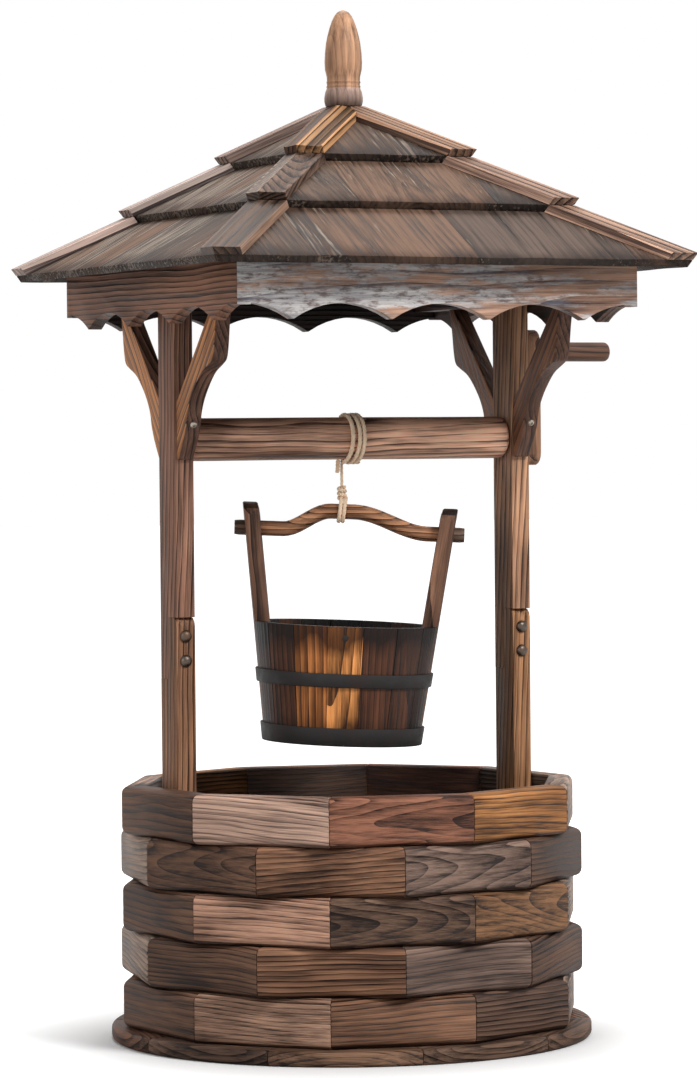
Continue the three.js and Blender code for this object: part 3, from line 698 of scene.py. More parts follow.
# %% Cube or copy
def block_from_cube(low, high):
    """A box between two corners, in millimetres, as a new bmesh."""
    bm = bmesh.new()
    bmesh.ops.create_cube(bm, size=1)
    size = [(h - l) * MM for l, h in zip(low, high)]
    middle = Vector([(h + l) / 2 * MM for l, h in zip(low, high)])
    bmesh.ops.scale(bm, vec=size, verts=bm.verts)
    bmesh.ops.translate(bm, vec=middle, verts=bm.verts)
    return bm


def eased_copy(node, width, body, material, name=None, first=None):
    """The node's own shape with its sharp edges rounded over, after first(bm) where one is given."""
    bm = bmesh.new()
    bm.from_mesh(frame["nodes"][node].data)
    bmesh.ops.remove_doubles(bm, verts=bm.verts, dist=1e-6)
    bmesh.ops.dissolve_limit(bm, angle_limit=math.radians(0.5), verts=bm.verts, edges=bm.edges)
    if first:
        first(bm)
    ease_edges(bm, width)
    return finish_piece(name or node + "_wood", bm, body, material, [node])


print("shapes in the model to copy from:", len(frame["nodes"]))

# %% [markdown]
# ## Spinning a section
# The base ring and the bucket's staves are curved pieces with the same section all the way. So the
# section's corners are drawn once and spun part of the way round, and the two open ends are
# filled. A trial quarter ring shows how many faces that makes.

# %% Spinning a section
def spin_section(corners, start, angle, steps):
    """A closed section of a few corners, spun about Z and closed at both ends."""
    bm = bmesh.new()
    verts = [bm.verts.new((r * MM, 0, z * MM)) for r, z in corners]
    for i, vert in enumerate(verts):
        bm.edges.new((vert, verts[(i + 1) % len(verts)]))
    turn_round(bm, start)
    bmesh.ops.spin(
        bm, geom=list(bm.verts) + list(bm.edges), cent=(0, 0, 0), axis=(0, 0, 1), angle=angle, steps=steps,
        use_merge=False,
    )
    bmesh.ops.holes_fill(bm, edges=[e for e in bm.edges if e.is_boundary], sides=0)
    bmesh.ops.recalc_face_normals(bm, faces=bm.faces)
    return bm


trial = spin_section([(10, 0), (20, 0), (20, 5), (10, 5)], 0, math.pi / 2, 8)
print("a quarter ring spun in 8 steps has", len(trial.faces), "faces")
trial.free()

# %% [markdown]
# ## Base ring
# The ring that the well stands on is glued up from ten flat arc pieces. A very thin slit is left
# between each and the next, so that the joints show, and the outer rim is rounded well over.

# %% Base ring
BASE_RADIUS, BASE_HOLE, BASE_THICKNESS, RIM_ROUNDING = 268, 180, 17, 5
ARC_COUNT, ARC_SPAN, FIRST_ARC, ARC_SLIT = 10, 36, -99, 0.06
base_section = [(BASE_HOLE, 0), (BASE_RADIUS, 0), (BASE_RADIUS, BASE_THICKNESS), (BASE_HOLE, BASE_THICKNESS)]
base_tones = [tone(98, 78, 66), tone(92, 72, 60), tone(116, 84, 66), tone(88, 70, 60), tone(108, 84, 68)]


def is_rim(edge):
    """Whether an edge runs along the outer rim, so that both its ends are equally far out and high."""
    first, second = (vert.co for vert in edge.verts)
    return (
        len(edge.link_faces) == 2 and edge.calc_face_angle() > 1
        and min(first.xy.length, second.xy.length) > (BASE_RADIUS - 8) * MM
        and abs(first.xy.length - second.xy.length) < 1e-4 and abs(first.z - second.z) < 1e-4
    )


for part in range(ARC_COUNT):
    start = math.radians(FIRST_ARC + ARC_SPAN * part + ARC_SLIT)
    bm = spin_section(base_section, start, math.radians(ARC_SPAN - 2 * ARC_SLIT), 14)
    round_over(bm, [e for e in bm.edges if is_rim(e)], RIM_ROUNDING, 4, clamp=False)
    ease_edges(bm, 0.7)
    piece = finish_piece(f"base_arc_{part + 1}", bm, "root", wall_timber, ["base_ring"])
    middle = start + math.radians(ARC_SPAN / 2)
    along, face = (-math.sin(middle), math.cos(middle), 0), (math.cos(middle), math.sin(middle), 0)
    lay_grain(piece, along, face, 40 + part, base_tones[part % 5], arched=False)

# %% [markdown]
# ## Tones of the wall
# The blocks were cut from different boards, so a grey one can sit beside an orange one. The table
# gives the five blocks that face the camera in each course, from left to right, and those
# further round repeat them out of step. The pale grey at the ends of some courses is a painted sheen
# where the blocks turn away to the side, and the shady brown at the other ends is painted shade.
# A few blocks show arches instead of lines.

# %% Tones of the wall
umber, deep_umber = tone(94, 71, 58), tone(82, 64, 55)
rosy_tan, pale_tan, buff = tone(164, 138, 125), tone(164, 129, 111), tone(150, 121, 104)
red_brown, chestnut = tone(121, 83, 67), tone(122, 91, 72)
honey, dark_honey = tone(148, 104, 65), tone(114, 85, 62)
mauve, grey_brown = tone(108, 91, 83), tone(98, 78, 66)
# The pale grey at the ends of some courses is a painted sheen, and shady is painted shade.
sheen_grey, shady = tone(136, 119, 108), tone(82, 62, 51)
front_tones = [
    [umber, buff, chestnut, deep_umber, sheen_grey],
    [sheen_grey, umber, chestnut, mauve, shady],
    [umber, pale_tan, grey_brown, dark_honey, sheen_grey],
    [sheen_grey, umber, chestnut, mauve, shady],
    [umber, rosy_tan, red_brown, honey, sheen_grey],
]
arched_blocks = {(4, 2), (3, 1), (3, 3), (2, 2), (2, 3)}


def wall_shading(place, normal):
    """Dark inside, partly from damp and partly as painted shade, painted shade below, and a painted
    highlight on the rounded upper edge.
    """
    outward = normal.dot(Vector((place.x, place.y, 0)).normalized())
    if outward < -0.6:
        return 0.42, 0.4
    if normal.z < -0.7:
        return 0.6, 0.4
    return (1.2, 0.0) if 0.2 < normal.z < 0.95 else (1.0, 0.0)


print("courses from the bottom up:", len(front_tones), "with", len(arched_blocks), "arched blocks")

# %% [markdown]
# ## One wall block
# A block is a cube whose ends are drawn in to the mitres, at 18 degrees. Its two long outer edges are
# rounded well over, and its upright edges just enough to show the joint. It is made on the X
# axis and then turned to its place, so that inside and outside are easy to tell apart.

# %% One wall block
WALL_RADIUS, WALL_THICKNESS, COURSE_HEIGHT, TENTH = 259, 27, 53.5, math.radians(36)
OUTER_FACE = WALL_RADIUS * math.cos(TENTH / 2)
INNER_FACE = OUTER_FACE - WALL_THICKNESS
OUTER_ROUNDING, INNER_ROUNDING, JOINT_ROUNDING, HALF_JOINT = 8.5, 3, 1.3, 0.25


def wall_block(bottom, angle, inset):
    bm = block_from_cube((INNER_FACE, -1, bottom), (OUTER_FACE, 1, bottom + COURSE_HEIGHT))
    for vert in bm.verts:
        half = vert.co.x * math.tan(TENTH / 2) - HALF_JOINT * MM
        vert.co.y = math.copysign(half, vert.co.y)
    for outer, width in ((True, OUTER_ROUNDING), (False, INNER_ROUNDING)):
        long_edges = [
            e for e in bm.edges
            if abs(e.verts[0].co.z - e.verts[1].co.z) < 1e-5 and e.calc_face_angle() > 1
            and (min(v.co.x for v in e.verts) > (OUTER_FACE - 1) * MM if outer
                 else max(v.co.x for v in e.verts) < (INNER_FACE + 1) * MM)
        ]
        round_over(bm, long_edges, width, 5)
    ease_edges(bm, JOINT_ROUNDING, angle=45)
    move(bm, -inset, 0, 0)
    turn_round(bm, angle)
    return bm


print("the wall is", round(2 * OUTER_FACE), "mm across its flats")

# %% [markdown]
# ## Five courses of ten
# Every other course is turned by half a block, as bricks are, so that no joint runs through. Each
# block is also set in by a hair's breadth that is left to chance, because stacked timber is never
# quite flush.

# %% Five courses of ten
FIRST_JOINT, MOST_INSET = math.radians(-84.4), 0.7
block_chance = random.Random(7)
for course, tones in enumerate(front_tones):
    for k in range(10):
        angle = FIRST_JOINT + (k - 2.5 - 0.5 * (course % 2)) * TENTH
        bm = wall_block(BASE_THICKNESS + course * COURSE_HEIGHT, angle, block_chance.uniform(0, MOST_INSET))
        name = f"wall_block_{course + 1}_{k + 1}"
        piece = finish_piece(name, bm, "root", wall_timber, [f"wall_course_{course + 1}"], smooth_angle=30)
        along, face = (-math.sin(angle), math.cos(angle), 0), (math.cos(angle), math.sin(angle), 0)
        colour = tones[k] if k < 5 else tones[(3 * k + course) % 5]
        arched = (course, k) in arched_blocks
        lay_grain(piece, along, face, 100 + 10 * course + k, colour, 0.03, 0.06, arched, wall_shading)

# %% [markdown]
# ## Floor
# The planter's floor is four plain boards on a bearer, with slits for water. It is rough wood that
# nobody sees much of, so the model's own shape with broken edges is enough.

# %% Floor
floor_tone = tone(78, 60, 50)
for node in ["floor_bearer"] + [f"floor_board_{i}" for i in range(1, 5)]:
    piece = eased_copy(node, 0.8, "root", wall_timber)
    lay_grain(piece, (1, 0, 0), (0, 0, 1), sum(map(ord, node)), floor_tone)

# %% [markdown]
# ## Posts, crossbeams and braces
# These are sawn boards. The model already has the half-laps and the curves, so they are copies with
# eased edges. The grain runs up the posts, and at a slant through the braces, which are sawn from
# a straight plank. The posts' left-hand sides get painted shade and a little more burn.

# %% Posts, crossbeams and braces
post_tones = {
    ("lower", "left"): tone(140, 104, 80), ("upper", "left"): tone(140, 106, 90),
    ("lower", "right"): tone(146, 108, 78), ("upper", "right"): tone(172, 134, 108),
}
left_face_shade = {"left": 0.85, "right": 0.62}
brace_tones = {"left": tone(176, 124, 84), "right": tone(128, 92, 72)}
# The crossbeams' dark tone is painted shade, because they sit in the shade under the roof.
brace_side_tone_and_shade, beam_tone_and_shade = tone(106, 80, 68), tone(62, 48, 42)


# Painted shade, with a little burn, on the faces that look left.
def dark_left(share):
    return lambda place, normal: (share, 0.1) if normal.x < -0.7 else (1.0, 0.0)


def darker_sides(place, normal):
    """The flat of a brace keeps its own tone, and its sawn sides are darker and greyer, partly their own
    colour and partly painted shade.
    """
    return (1.0, 0.0) if abs(normal.x) > 0.7 else (1.0, 0.1, brace_side_tone_and_shade)


for side, sign in (("left", -1), ("right", 1)):
    for part in ("lower", "upper"):
        piece = eased_copy(f"post_{part}_{side}", 1.2, "root", frame_timber)
        lay_grain(
            piece, (0, 0, 1), (-1, -1, 0), 300 + sign, post_tones[part, side], arched=False,
            shading=dark_left(left_face_shade[side]), heart=(0.12, 0.2),
        )
    piece = eased_copy(f"crossbeam_{side}", 1.2, "root", frame_timber)
    lay_grain(piece, (0, 1, 0), (1, 0, 0), 320 + sign, beam_tone_and_shade)
    for end, lean in (("front", -1), ("back", 1)):
        piece = eased_copy(f"brace_{side}_{end}", 1.5, "root", frame_timber)
        lay_grain(
            piece, (0, lean, 1.3), (-1.64, 1.3, -lean), 330 + sign + 5 * lean, brace_tones[side],
            arched=False, shading=darker_sides, heart=(0.2, 0.3),
        )
sawn = [o.name for o in bpy.data.objects if o.name.endswith("_wood") and not o.name.startswith("floor")]
print("pieces of the frame:", len(sawn))

# %% [markdown]
# ## Fascia
# Four scalloped boards hang under the eaves, and again a copy of the model's shape is enough. The
# front one has weathered grey, so it gets the chalky timber. The inner faces are kept dark,
# because under the roof there is only shade.

# %% Fascia
# The back board's dark tone is painted shade: only its inner face, under the roof, is seen.
fascia_facts = {
    "front": ((1, 0, 0), (0, -1, 0), tone(166, 136, 120)), "back": ((1, 0, 0), (0, 1, 0), tone(58, 44, 38)),
    "left": ((0, 1, 0), (-1, 0, 0), tone(122, 90, 74)), "right": ((0, 1, 0), (1, 0, 0), tone(90, 70, 60)),
}


def dark_inside(place, normal):
    inward = normal.x * place.x + normal.y * place.y < -0.05
    return (0.4, 0.5) if inward else (1.0, 0.0)


for side, (along, face, colour) in fascia_facts.items():
    piece = eased_copy(f"fascia_{side}", 1.0, "root", chalky_timber if side == "front" else frame_timber)
    lay_grain(
        piece, along, face, 340 + len(side), colour, 0.0, 0.03, arched=False, shading=dark_inside, start=0.0,
    )
print("fascia boards:", len(fascia_facts))

# %% [markdown]
# ## Bolts
# Two round-headed bolts hold each half-lap of the posts. Their heads and nuts are in the model, so a
# copy of each with a very fine rounding is enough.

# %% Bolts
for side in ("left", "right"):
    for number in (1, 2):
        node = f"post_bolt_{side}_{number}"
        eased_copy(node, 0.3, "root", bolt_steel, node + "_metal")

# %% [markdown]
# ## Brace screws
# A screw low on each brace's curve pins it to its post. Its head is a low dome with a hole for the
# driver, so half of its section is drawn as a short line of points and turned once round. The
# finial, the roller and the grip further on are made the same way, as on a lathe.

# %% Brace screws
POST_MIDDLE, SCREW_OUT, SCREW_HEIGHT = 206.92, 48.6, 682
SCREW_FORWARD, SCREW_DOWN = 0.84, -0.54
screw_line = [(0, 0.4), (1.5, 0.5), (1.8, 1.9), (2.6, 1.9), (3.5, 1.3), (4.0, 0.3), (4.0, -0.5), (0, -0.5)]


def spin_round(points, steps=64):
    """A line of (radius, height) points turned once round Z and merged."""
    bm = bmesh.new()
    verts = [bm.verts.new((radius * MM, 0, height * MM)) for radius, height in points]
    for first, second in zip(verts, verts[1:]):
        bm.edges.new((first, second))
    bmesh.ops.spin(
        bm, geom=list(bm.verts) + list(bm.edges), cent=(0, 0, 0), axis=(0, 0, 1), angle=2 * math.pi,
        steps=steps, use_merge=True,
    )
    bmesh.ops.remove_doubles(bm, verts=bm.verts, dist=1e-6)
    bmesh.ops.recalc_face_normals(bm, faces=bm.faces)
    return bm


for side, sign in (("left", -1), ("right", 1)):
    for end, lean in (("front", -1), ("back", 1)):
        bm = spin_round(screw_line, 24)
        facing = Vector((0, lean * SCREW_FORWARD, SCREW_DOWN)).to_track_quat("Z", "X").to_matrix()
        bmesh.ops.rotate(bm, cent=(0, 0, 0), matrix=facing, verts=bm.verts)
        move(bm, sign * POST_MIDDLE, lean * SCREW_OUT, SCREW_HEIGHT)
        finish_piece(f"brace_screw_{side}_{end}", bm, "root", screw_zinc)

# %% [markdown]
# ## The slopes of the roof
# Three tiers of boards lie over each other like large shingles. Every piece of the roof is made on
# the front slope and then turned to its own side, so the slope is worked out only once. A piece
# starts as a cube tipped to the slope, and planes cut it at the hips, which gives true mitres without
# any sums for their angles.

# %% The slopes of the roof
ROOF_SLOPE, ROOF_TOP, EAVE_HALF, TIER_LAP = 0.56, 1034.5, 281.02, 29
BOARD_THICKNESS, BATTEN_THICKNESS = 8.75, 9.0
ROOF_ANGLE = math.atan(ROOF_SLOPE)
BOARD_RISE = BOARD_THICKNESS / math.cos(ROOF_ANGLE)
TIER_PITCH = BOARD_RISE + CUT_GAP
ROOF_UNDER = ROOF_TOP - BOARD_RISE - 2 * TIER_PITCH
TIER_HALVES = [EAVE_HALF, 0.6637 * EAVE_HALF, 0.369 * EAVE_HALF]
QUARTERS = [math.radians(90 * i) for i in range(4)]
down_slope = Vector((0, -math.cos(ROOF_ANGLE), -math.sin(ROOF_ANGLE)))
off_slope = Vector((0, -math.sin(ROOF_ANGLE), math.cos(ROOF_ANGLE)))


def slope_slab(level, thickness, left, right, inner, outer):
    """A board on the front slope, between two places across and two half widths out."""
    run = (outer - inner) / math.cos(ROOF_ANGLE)
    bm = block_from_cube((left, -run, 0), (right, 0, thickness))
    turn_round(bm, ROOF_ANGLE, "X")
    lean = thickness * math.sin(ROOF_ANGLE) / 2
    move(bm, 0, -(inner - lean), ROOF_UNDER + level * TIER_PITCH - ROOF_SLOPE * (inner - lean))
    return bm


print("the roof rises at", round(math.degrees(ROOF_ANGLE), 1), "degrees")

# %% [markdown]
# ## One roof board
# The boards' lower edges are a little ragged. So a finished board gets rows of extra points, and a
# noise draws those near its lower edge back up the slope by about 2 mm at most. The noise follows
# the side and the tier, so that the wear runs on from board to board.

# %% One roof board
SLOPE_END, ROW_END, ROW_GAP = 300, 280, 14
HIP_GAP, BOARD_SLIT, PEAK_GAP = 0.15, 0.02, 0.5
EDGE_SOOT, EDGE_WEAR, WEAR_DEPTH = 24, 8, 2.2


def roof_board(tier, side, left, right):
    outer = TIER_HALVES[tier]
    inner = PEAK_GAP if tier == 2 else TIER_HALVES[tier + 1] - TIER_LAP
    bm = slope_slab(tier, BOARD_THICKNESS, left + BOARD_SLIT, right - BOARD_SLIT, inner, outer)
    cut_away(bm, (-HIP_GAP * MM, 0, 0), (-1, 1, 0))
    cut_away(bm, (HIP_GAP * MM, 0, 0), (1, 1, 0))
    if tier == 2:
        cut_away(bm, (0, -2 * HIP_GAP * MM, 0), (0, 1, 0))
    ease_edges(bm, 0.8)
    for above in (EDGE_WEAR, EDGE_SOOT):
        slice_mesh(bm, (0, (above - outer) * MM, 0), (0, 1, 0))
    for across in range(-ROW_END, ROW_END + 1, ROW_GAP):
        slice_mesh(bm, (across * MM, 0, 0), (1, 0, 0))
    for vert in bm.verts:
        near = min(1.0, max(0.0, 1 - (outer * MM + vert.co.y) / (EDGE_WEAR * MM)))
        wear = 0.5 + 0.8 * noise.noise(Vector((vert.co.x * 22, tier * 5.3 + side + 0.4, 0.5)))
        vert.co -= down_slope * (WEAR_DEPTH * MM * min(1.0, max(0.0, wear)) * near)
    turn_round(bm, QUARTERS[side])
    return bm


print("rows across a slope:", 2 * ROW_END // ROW_GAP + 1)

# %% [markdown]
# ## Three tiers of boards
# The joints of one tier never lie over those of the next. The sawn lower ends and the undersides
# get painted shade and a little burn, and the soot on top fades out about an inch above the edge.

# %% Three tiers of boards
roof_tones = [tone(77, 64, 56), tone(88, 70, 59), tone(70, 60, 55), tone(84, 67, 58), tone(76, 65, 58)]
board_joints = [[-165, 25, 215], [-70, 95], []]


def roof_shading(side, tier):
    turned = Matrix.Rotation(QUARTERS[side], 3, "Z")
    down, off, out = turned @ down_slope, turned @ off_slope, turned @ Vector((0, -1, 0))

    def shade(place, normal):
        # Painted shade, with a little burn, on the lower ends and the undersides.
        if normal.dot(down) > 0.5 or normal.dot(off) < -0.5:
            return 0.45, 0.3
        above = TIER_HALVES[tier] - place.dot(out) / MM
        return 1.0, max(0.0, 0.6 - 0.6 * above / EDGE_SOOT)
    return shade


for tier in range(3):
    for side in range(4):
        way = 1 if side % 2 == 0 else -1
        bounds = sorted([-SLOPE_END] + [way * joint for joint in board_joints[tier]] + [SLOPE_END])
        spin = Matrix.Rotation(QUARTERS[side], 3, "Z")
        for number, (left, right) in enumerate(zip(bounds, bounds[1:])):
            name = f"roof_board_{tier + 1}_{side + 1}_{number + 1}"
            bm = roof_board(tier, side, left, right)
            piece = finish_piece(name, bm, "root", roof_timber, [f"roof_tier_{tier + 1}"])
            seed = 400 + 40 * tier + 10 * side + number
            lay_grain(
                piece, spin @ down_slope, spin @ off_slope, seed, roof_tones[seed % 5], 0.08, 0.06,
                shading=roof_shading(side, tier),
            )

# %% [markdown]
# ## Half a hip batten
# A batten covers each hip on each tier. On the real roof they are brushed so deeply that they
# show long ridges. Each half is a slab on its own slope, sliced lengthwise, and every other slice
# line is pressed in a little.

# %% Half a hip batten
BATTEN_WIDTH, MIDDLE_RIDGE = 45, 6
BATTEN_REACH = BATTEN_WIDTH / math.sqrt(2)


def batten_half(tier, sign, inner, outer, seed, widths, depths):
    """The half of a batten on the front slope, at its right hand hip for sign 1 and left for -1."""
    bm = slope_slab(tier + 1, BATTEN_THICKNESS, -SLOPE_END, SLOPE_END, inner, outer)
    cut_away(bm, (0, 0, 0), (sign, 1, 0))
    cut_away(bm, (-sign * BATTEN_REACH * MM, 0, 0), (-sign, -1, 0))
    chance = random.Random(seed)
    lines = [BATTEN_REACH]
    while lines[-1] > MIDDLE_RIDGE:
        lines.append(lines[-1] - chance.uniform(*widths))
    normal = Vector((sign, 1, 0)).normalized()
    for number, line in enumerate(lines[1:]):
        point = Vector((-sign * line * MM, 0, 0))
        slice_mesh(bm, point, normal)
        if number % 2 == 0:
            continue
        surface = max(v.co.dot(off_slope) for v in bm.verts) - 1e-5
        for vert in bm.verts:
            if abs((vert.co - point).dot(normal)) < 1e-6 and vert.co.dot(off_slope) > surface:
                vert.co -= off_slope * MM * chance.uniform(*depths)
    return bm


print("a batten reaches", round(BATTEN_REACH, 1), "mm along the eaves")

# %% [markdown]
# ## Tones of the battens
# The two halves of a batten lie on different slopes and take the light differently, so the table has
# a pair of tones for each batten that is seen, partly the wood's own colour and partly painted light and
# shade, and a factor of painted light for its side that faces the front. A face also gets painted shade
# the deeper it lies below the top, in the brushed valleys.

# %% Tones of the battens
# Each pair is partly the wood's colour, partly painted light and shade; the third number is painted light on
# the front side.
batten_tones_and_light = {
    (3, 4): (tone(108, 78, 62), tone(176, 136, 98), 1.2),
    (2, 4): (tone(136, 122, 112), tone(96, 78, 68), 1.1),
    (1, 4): (tone(104, 88, 78), tone(84, 68, 58), 3.8),
    (3, 1): (tone(140, 112, 94), tone(96, 80, 70), 1.5),
    (2, 1): (tone(150, 124, 110), tone(96, 80, 70), 1.6),
    (1, 1): (tone(156, 128, 112), tone(96, 80, 70), 1.6),
    (3, 3): (tone(120, 98, 88), tone(184, 160, 150), 0.6),
    (2, 3): (tone(120, 100, 90), tone(214, 198, 192), 0.6),
    (1, 3): (tone(120, 100, 90), tone(214, 192, 184), 0.7),
}
plain_batten = (tone(124, 98, 82), tone(124, 98, 82), 0.8)


def batten_shading(hip, first, second, side_painted_light, level):
    """A tone for each half, painted shade in the valleys, ends and undersides darker, partly burnt and
    partly painted shade, and painted light and shade on the sides.
    """
    turned = Matrix.Rotation(QUARTERS[hip], 3, "Z")
    outward = turned @ Vector((1, -1, 0)).normalized()
    first_out, second_out = turned @ Vector((0, -1, 0)), turned @ Vector((1, 0, 0))
    first_top, second_top = turned @ off_slope, turned @ Matrix.Rotation(QUARTERS[1], 3, "Z") @ off_slope

    def shade(place, normal):
        on_first = normal.dot(first_out) > normal.dot(second_out)
        own = first if on_first else second
        # Painted shade in the brushed valleys, deeper below the top; painted light and shade on the sides.
        if normal.z > 0.75:
            sunk = (level - place.dot(first_top if on_first else second_top)) / MM
            return max(0.3, 1.1 - 1.1 * sunk), 0.0, own
        if normal.dot(outward) > 0.5 or normal.z < -0.5:
            return 0.6, 0.25, own
        return (side_painted_light if normal.y < 0 else 0.7), 0.0, own
    return shade


print("battens with tones of their own:", len(batten_tones_and_light))

# %% [markdown]
# ## Twelve battens
# Both halves are turned to their slopes and joined in one mesh. The batten on top at the near hip
# has finer and deeper grooves than the others, and the one below it has wavy grain, as in the photo.

# %% Twelve battens
FINIAL_SEAT = 1035.4


def join_halves(tier, hip, inner, outer, widths, depths):
    whole = bmesh.new()
    for side, sign in ((hip, 1), ((hip + 1) % 4, -1)):
        half = batten_half(tier, sign, inner, outer, 500 + 40 * tier + 10 * hip + sign, widths, depths)
        if tier == 2:
            cut_away(half, (sign * HIP_GAP * MM, 0, 0), (-sign, 0, 0))
        turn_round(half, QUARTERS[side])
        if tier == 2:
            cut_away(half, (0, 0, FINIAL_SEAT * MM), (0, 0, 1))
        holder = bpy.data.meshes.new("batten_half")
        half.to_mesh(holder)
        half.free()
        whole.from_mesh(holder)
        bpy.data.meshes.remove(holder)
    ease_edges(whole, 0.35, angle=40, segments=1)
    return whole


for tier in range(3):
    inner = PEAK_GAP if tier == 2 else TIER_HALVES[tier + 1] + CUT_GAP
    outer = TIER_HALVES[tier] + BOARD_THICKNESS * math.sin(ROOF_ANGLE)
    level = BATTEN_THICKNESS * MM + (ROOF_UNDER + (tier + 1) * TIER_PITCH) * MM * math.cos(ROOF_ANGLE)
    for hip in range(4):
        fine, wavy = (tier, hip) == (2, 3), (tier, hip) == (1, 3)
        widths, depths = ((1.3, 2.6), (0.9, 1.5)) if fine else ((2.0, 4.2), (0.3, 0.8))
        bm = join_halves(tier, hip, inner, outer, widths, depths)
        name, node = f"batten_{tier + 1}_{hip + 1}", f"hip_batten_{tier + 1}_{hip + 1}"
        piece = finish_piece(name, bm, "root", batten_timber, [node], smooth_angle=30)
        diagonal = Matrix.Rotation(QUARTERS[hip], 3, "Z") @ Vector((1, -1, -ROOF_SLOPE))
        tones = batten_tones_and_light.get((tier + 1, hip + 1), plain_batten)
        lay_grain(
            piece, diagonal, (0, 0, 1), 560 + 10 * tier + hip, tones[0], 0.0, 0.2 if wavy else 0.01,
            arched=wavy, shading=batten_shading(hip, *tones, level),
        )

# %% [markdown]
# ## Finial
# The knob on top was turned on a lathe, so it is spun here too: a line of points up one side, made
# smooth, and turned once round. The line is written in shares of its height and radius.

# %% Finial
FINIAL_FOOT, FINIAL_HEIGHT, FINIAL_RADIUS = 1035.5, 107.5, 21.5
FOOT_SHARE, TIP_SHARE = 0.19, 0.9
finial_tone, finial_foot_tone = tone(172, 136, 110), tone(166, 144, 134)
finial_line = [
    (0, 0.916), (0.012, 0.95), (0.051, 1), (0.093, 1), (0.149, 0.953), (0.185, 0.875),
    (0.196, 0.868), (0.205, 0.888), (0.214, 0.868), (0.219, 0.856), (0.237, 0.856), (0.242, 0.868),
    (0.251, 0.888), (0.26, 0.868), (0.265, 0.856), (0.307, 0.865), (0.381, 0.953), (0.456, 0.972),
    (0.549, 0.949), (0.651, 0.893), (0.726, 0.819), (0.8, 0.721), (0.884, 0.581), (0.94, 0.44),
    (0.972, 0.31), (0.99, 0.17), (1, 0),
]


def finial_shading(place, normal):
    """A greyer foot that darkens towards where it meets the roof, painted shade on the right-hand side and a
    darker tip.
    """
    height = (place.z / MM - FINIAL_FOOT) / FINIAL_HEIGHT
    if height < FOOT_SHARE:
        return 0.36 + 4.4 * height, max(0.0, 0.4 - 6 * height), finial_foot_tone
    tip = max(0.0, height - TIP_SHARE)
    return 1.08 - 0.7 * max(0.0, normal.x - 0.3) - 3.0 * tip, max(0.0, normal.x - 0.4)


profile = [(0, FINIAL_FOOT)]
profile += [(out * FINIAL_RADIUS, FINIAL_FOOT + up * FINIAL_HEIGHT) for up, out in finial_line]
piece = finish_piece("finial_knob", spin_round(profile), "root", turned_timber, ["finial"], smooth_angle=50)
lay_grain(
    piece, (0, 0, 1), (-0.4, -0.9, 0), 600, finial_tone, 0.0, 0.03, arched=False, shading=finial_shading,
)
print("finial stands", FINIAL_HEIGHT, "mm tall")

# %% [markdown]
# ## Roller
# The roller is a peeled log, not quite round, so a cylinder gets many rings and a little noise. It
# is spun upright and then laid along X. Its thinner ends turn in the posts.

# %% Roller
JOURNAL_RADIUS, LEFT_JOURNAL, RIGHT_JOURNAL, LOG_RINGS = 9.8, 14, 36, 40
LOG_END_LENGTH, log_end = 6, [(18, 0), (21.5, 1), (23.4, 3)]
DENT_DEPTH, DENTED_FROM = 0.035, 17


def along_x(bm, height):
    turn_round(bm, math.pi / 2, "Y")
    move(bm, 0, 0, height)


def roller_shading(place, normal):
    """Paler in front and darker where it faces up or down, which is painted shade. The top is a little
    burnt.
    """
    return 1.0 - 0.6 * max(0.0, abs(normal.z) - 0.4), max(0.0, normal.z - 0.1) * 0.7


log_line = [(0, -ROLLER_HALF - LEFT_JOURNAL), (JOURNAL_RADIUS, -ROLLER_HALF - LEFT_JOURNAL)]
log_line.append((JOURNAL_RADIUS, -ROLLER_HALF))
log_line += [(radius, -ROLLER_HALF + inward) for radius, inward in log_end]
ring_gap = (2 * ROLLER_HALF - 2 * LOG_END_LENGTH) / LOG_RINGS
log_line += [(ROLLER_RADIUS, -ROLLER_HALF + LOG_END_LENGTH + i * ring_gap) for i in range(LOG_RINGS + 1)]
log_line += [(radius, ROLLER_HALF - inward) for radius, inward in reversed(log_end)]
log_line += [(JOURNAL_RADIUS, height) for height in (ROLLER_HALF, ROLLER_HALF + RIGHT_JOURNAL)]
log_line.append((0, ROLLER_HALF + RIGHT_JOURNAL))
bm = spin_round(log_line, 56)
for vert in bm.verts:
    if vert.co.xy.length > DENTED_FROM * MM:
        dent = noise.noise(Vector((vert.co.x * 28, vert.co.y * 28, vert.co.z * 7)))
        vert.co.xy *= 1 - DENT_DEPTH * (0.5 + 0.5 * dent)
along_x(bm, AXLE_HEIGHT)
piece = finish_piece("roller_log", bm, "windlass", log_timber, ["windlass_roller"], smooth_angle=40)
lay_grain(
    piece, (1, 0, 0), (0, -1, 0), 610, tone(220, 178, 154), 0.0, 0.06, arched=False, shading=roller_shading,
)
print("roller", 2 * ROLLER_HALF, "mm long")

# %% [markdown]
# ## Crank
# The crank arm is a flat bar with round ends, and its grip a dowel with a rounded end. Both turn with
# the roller.

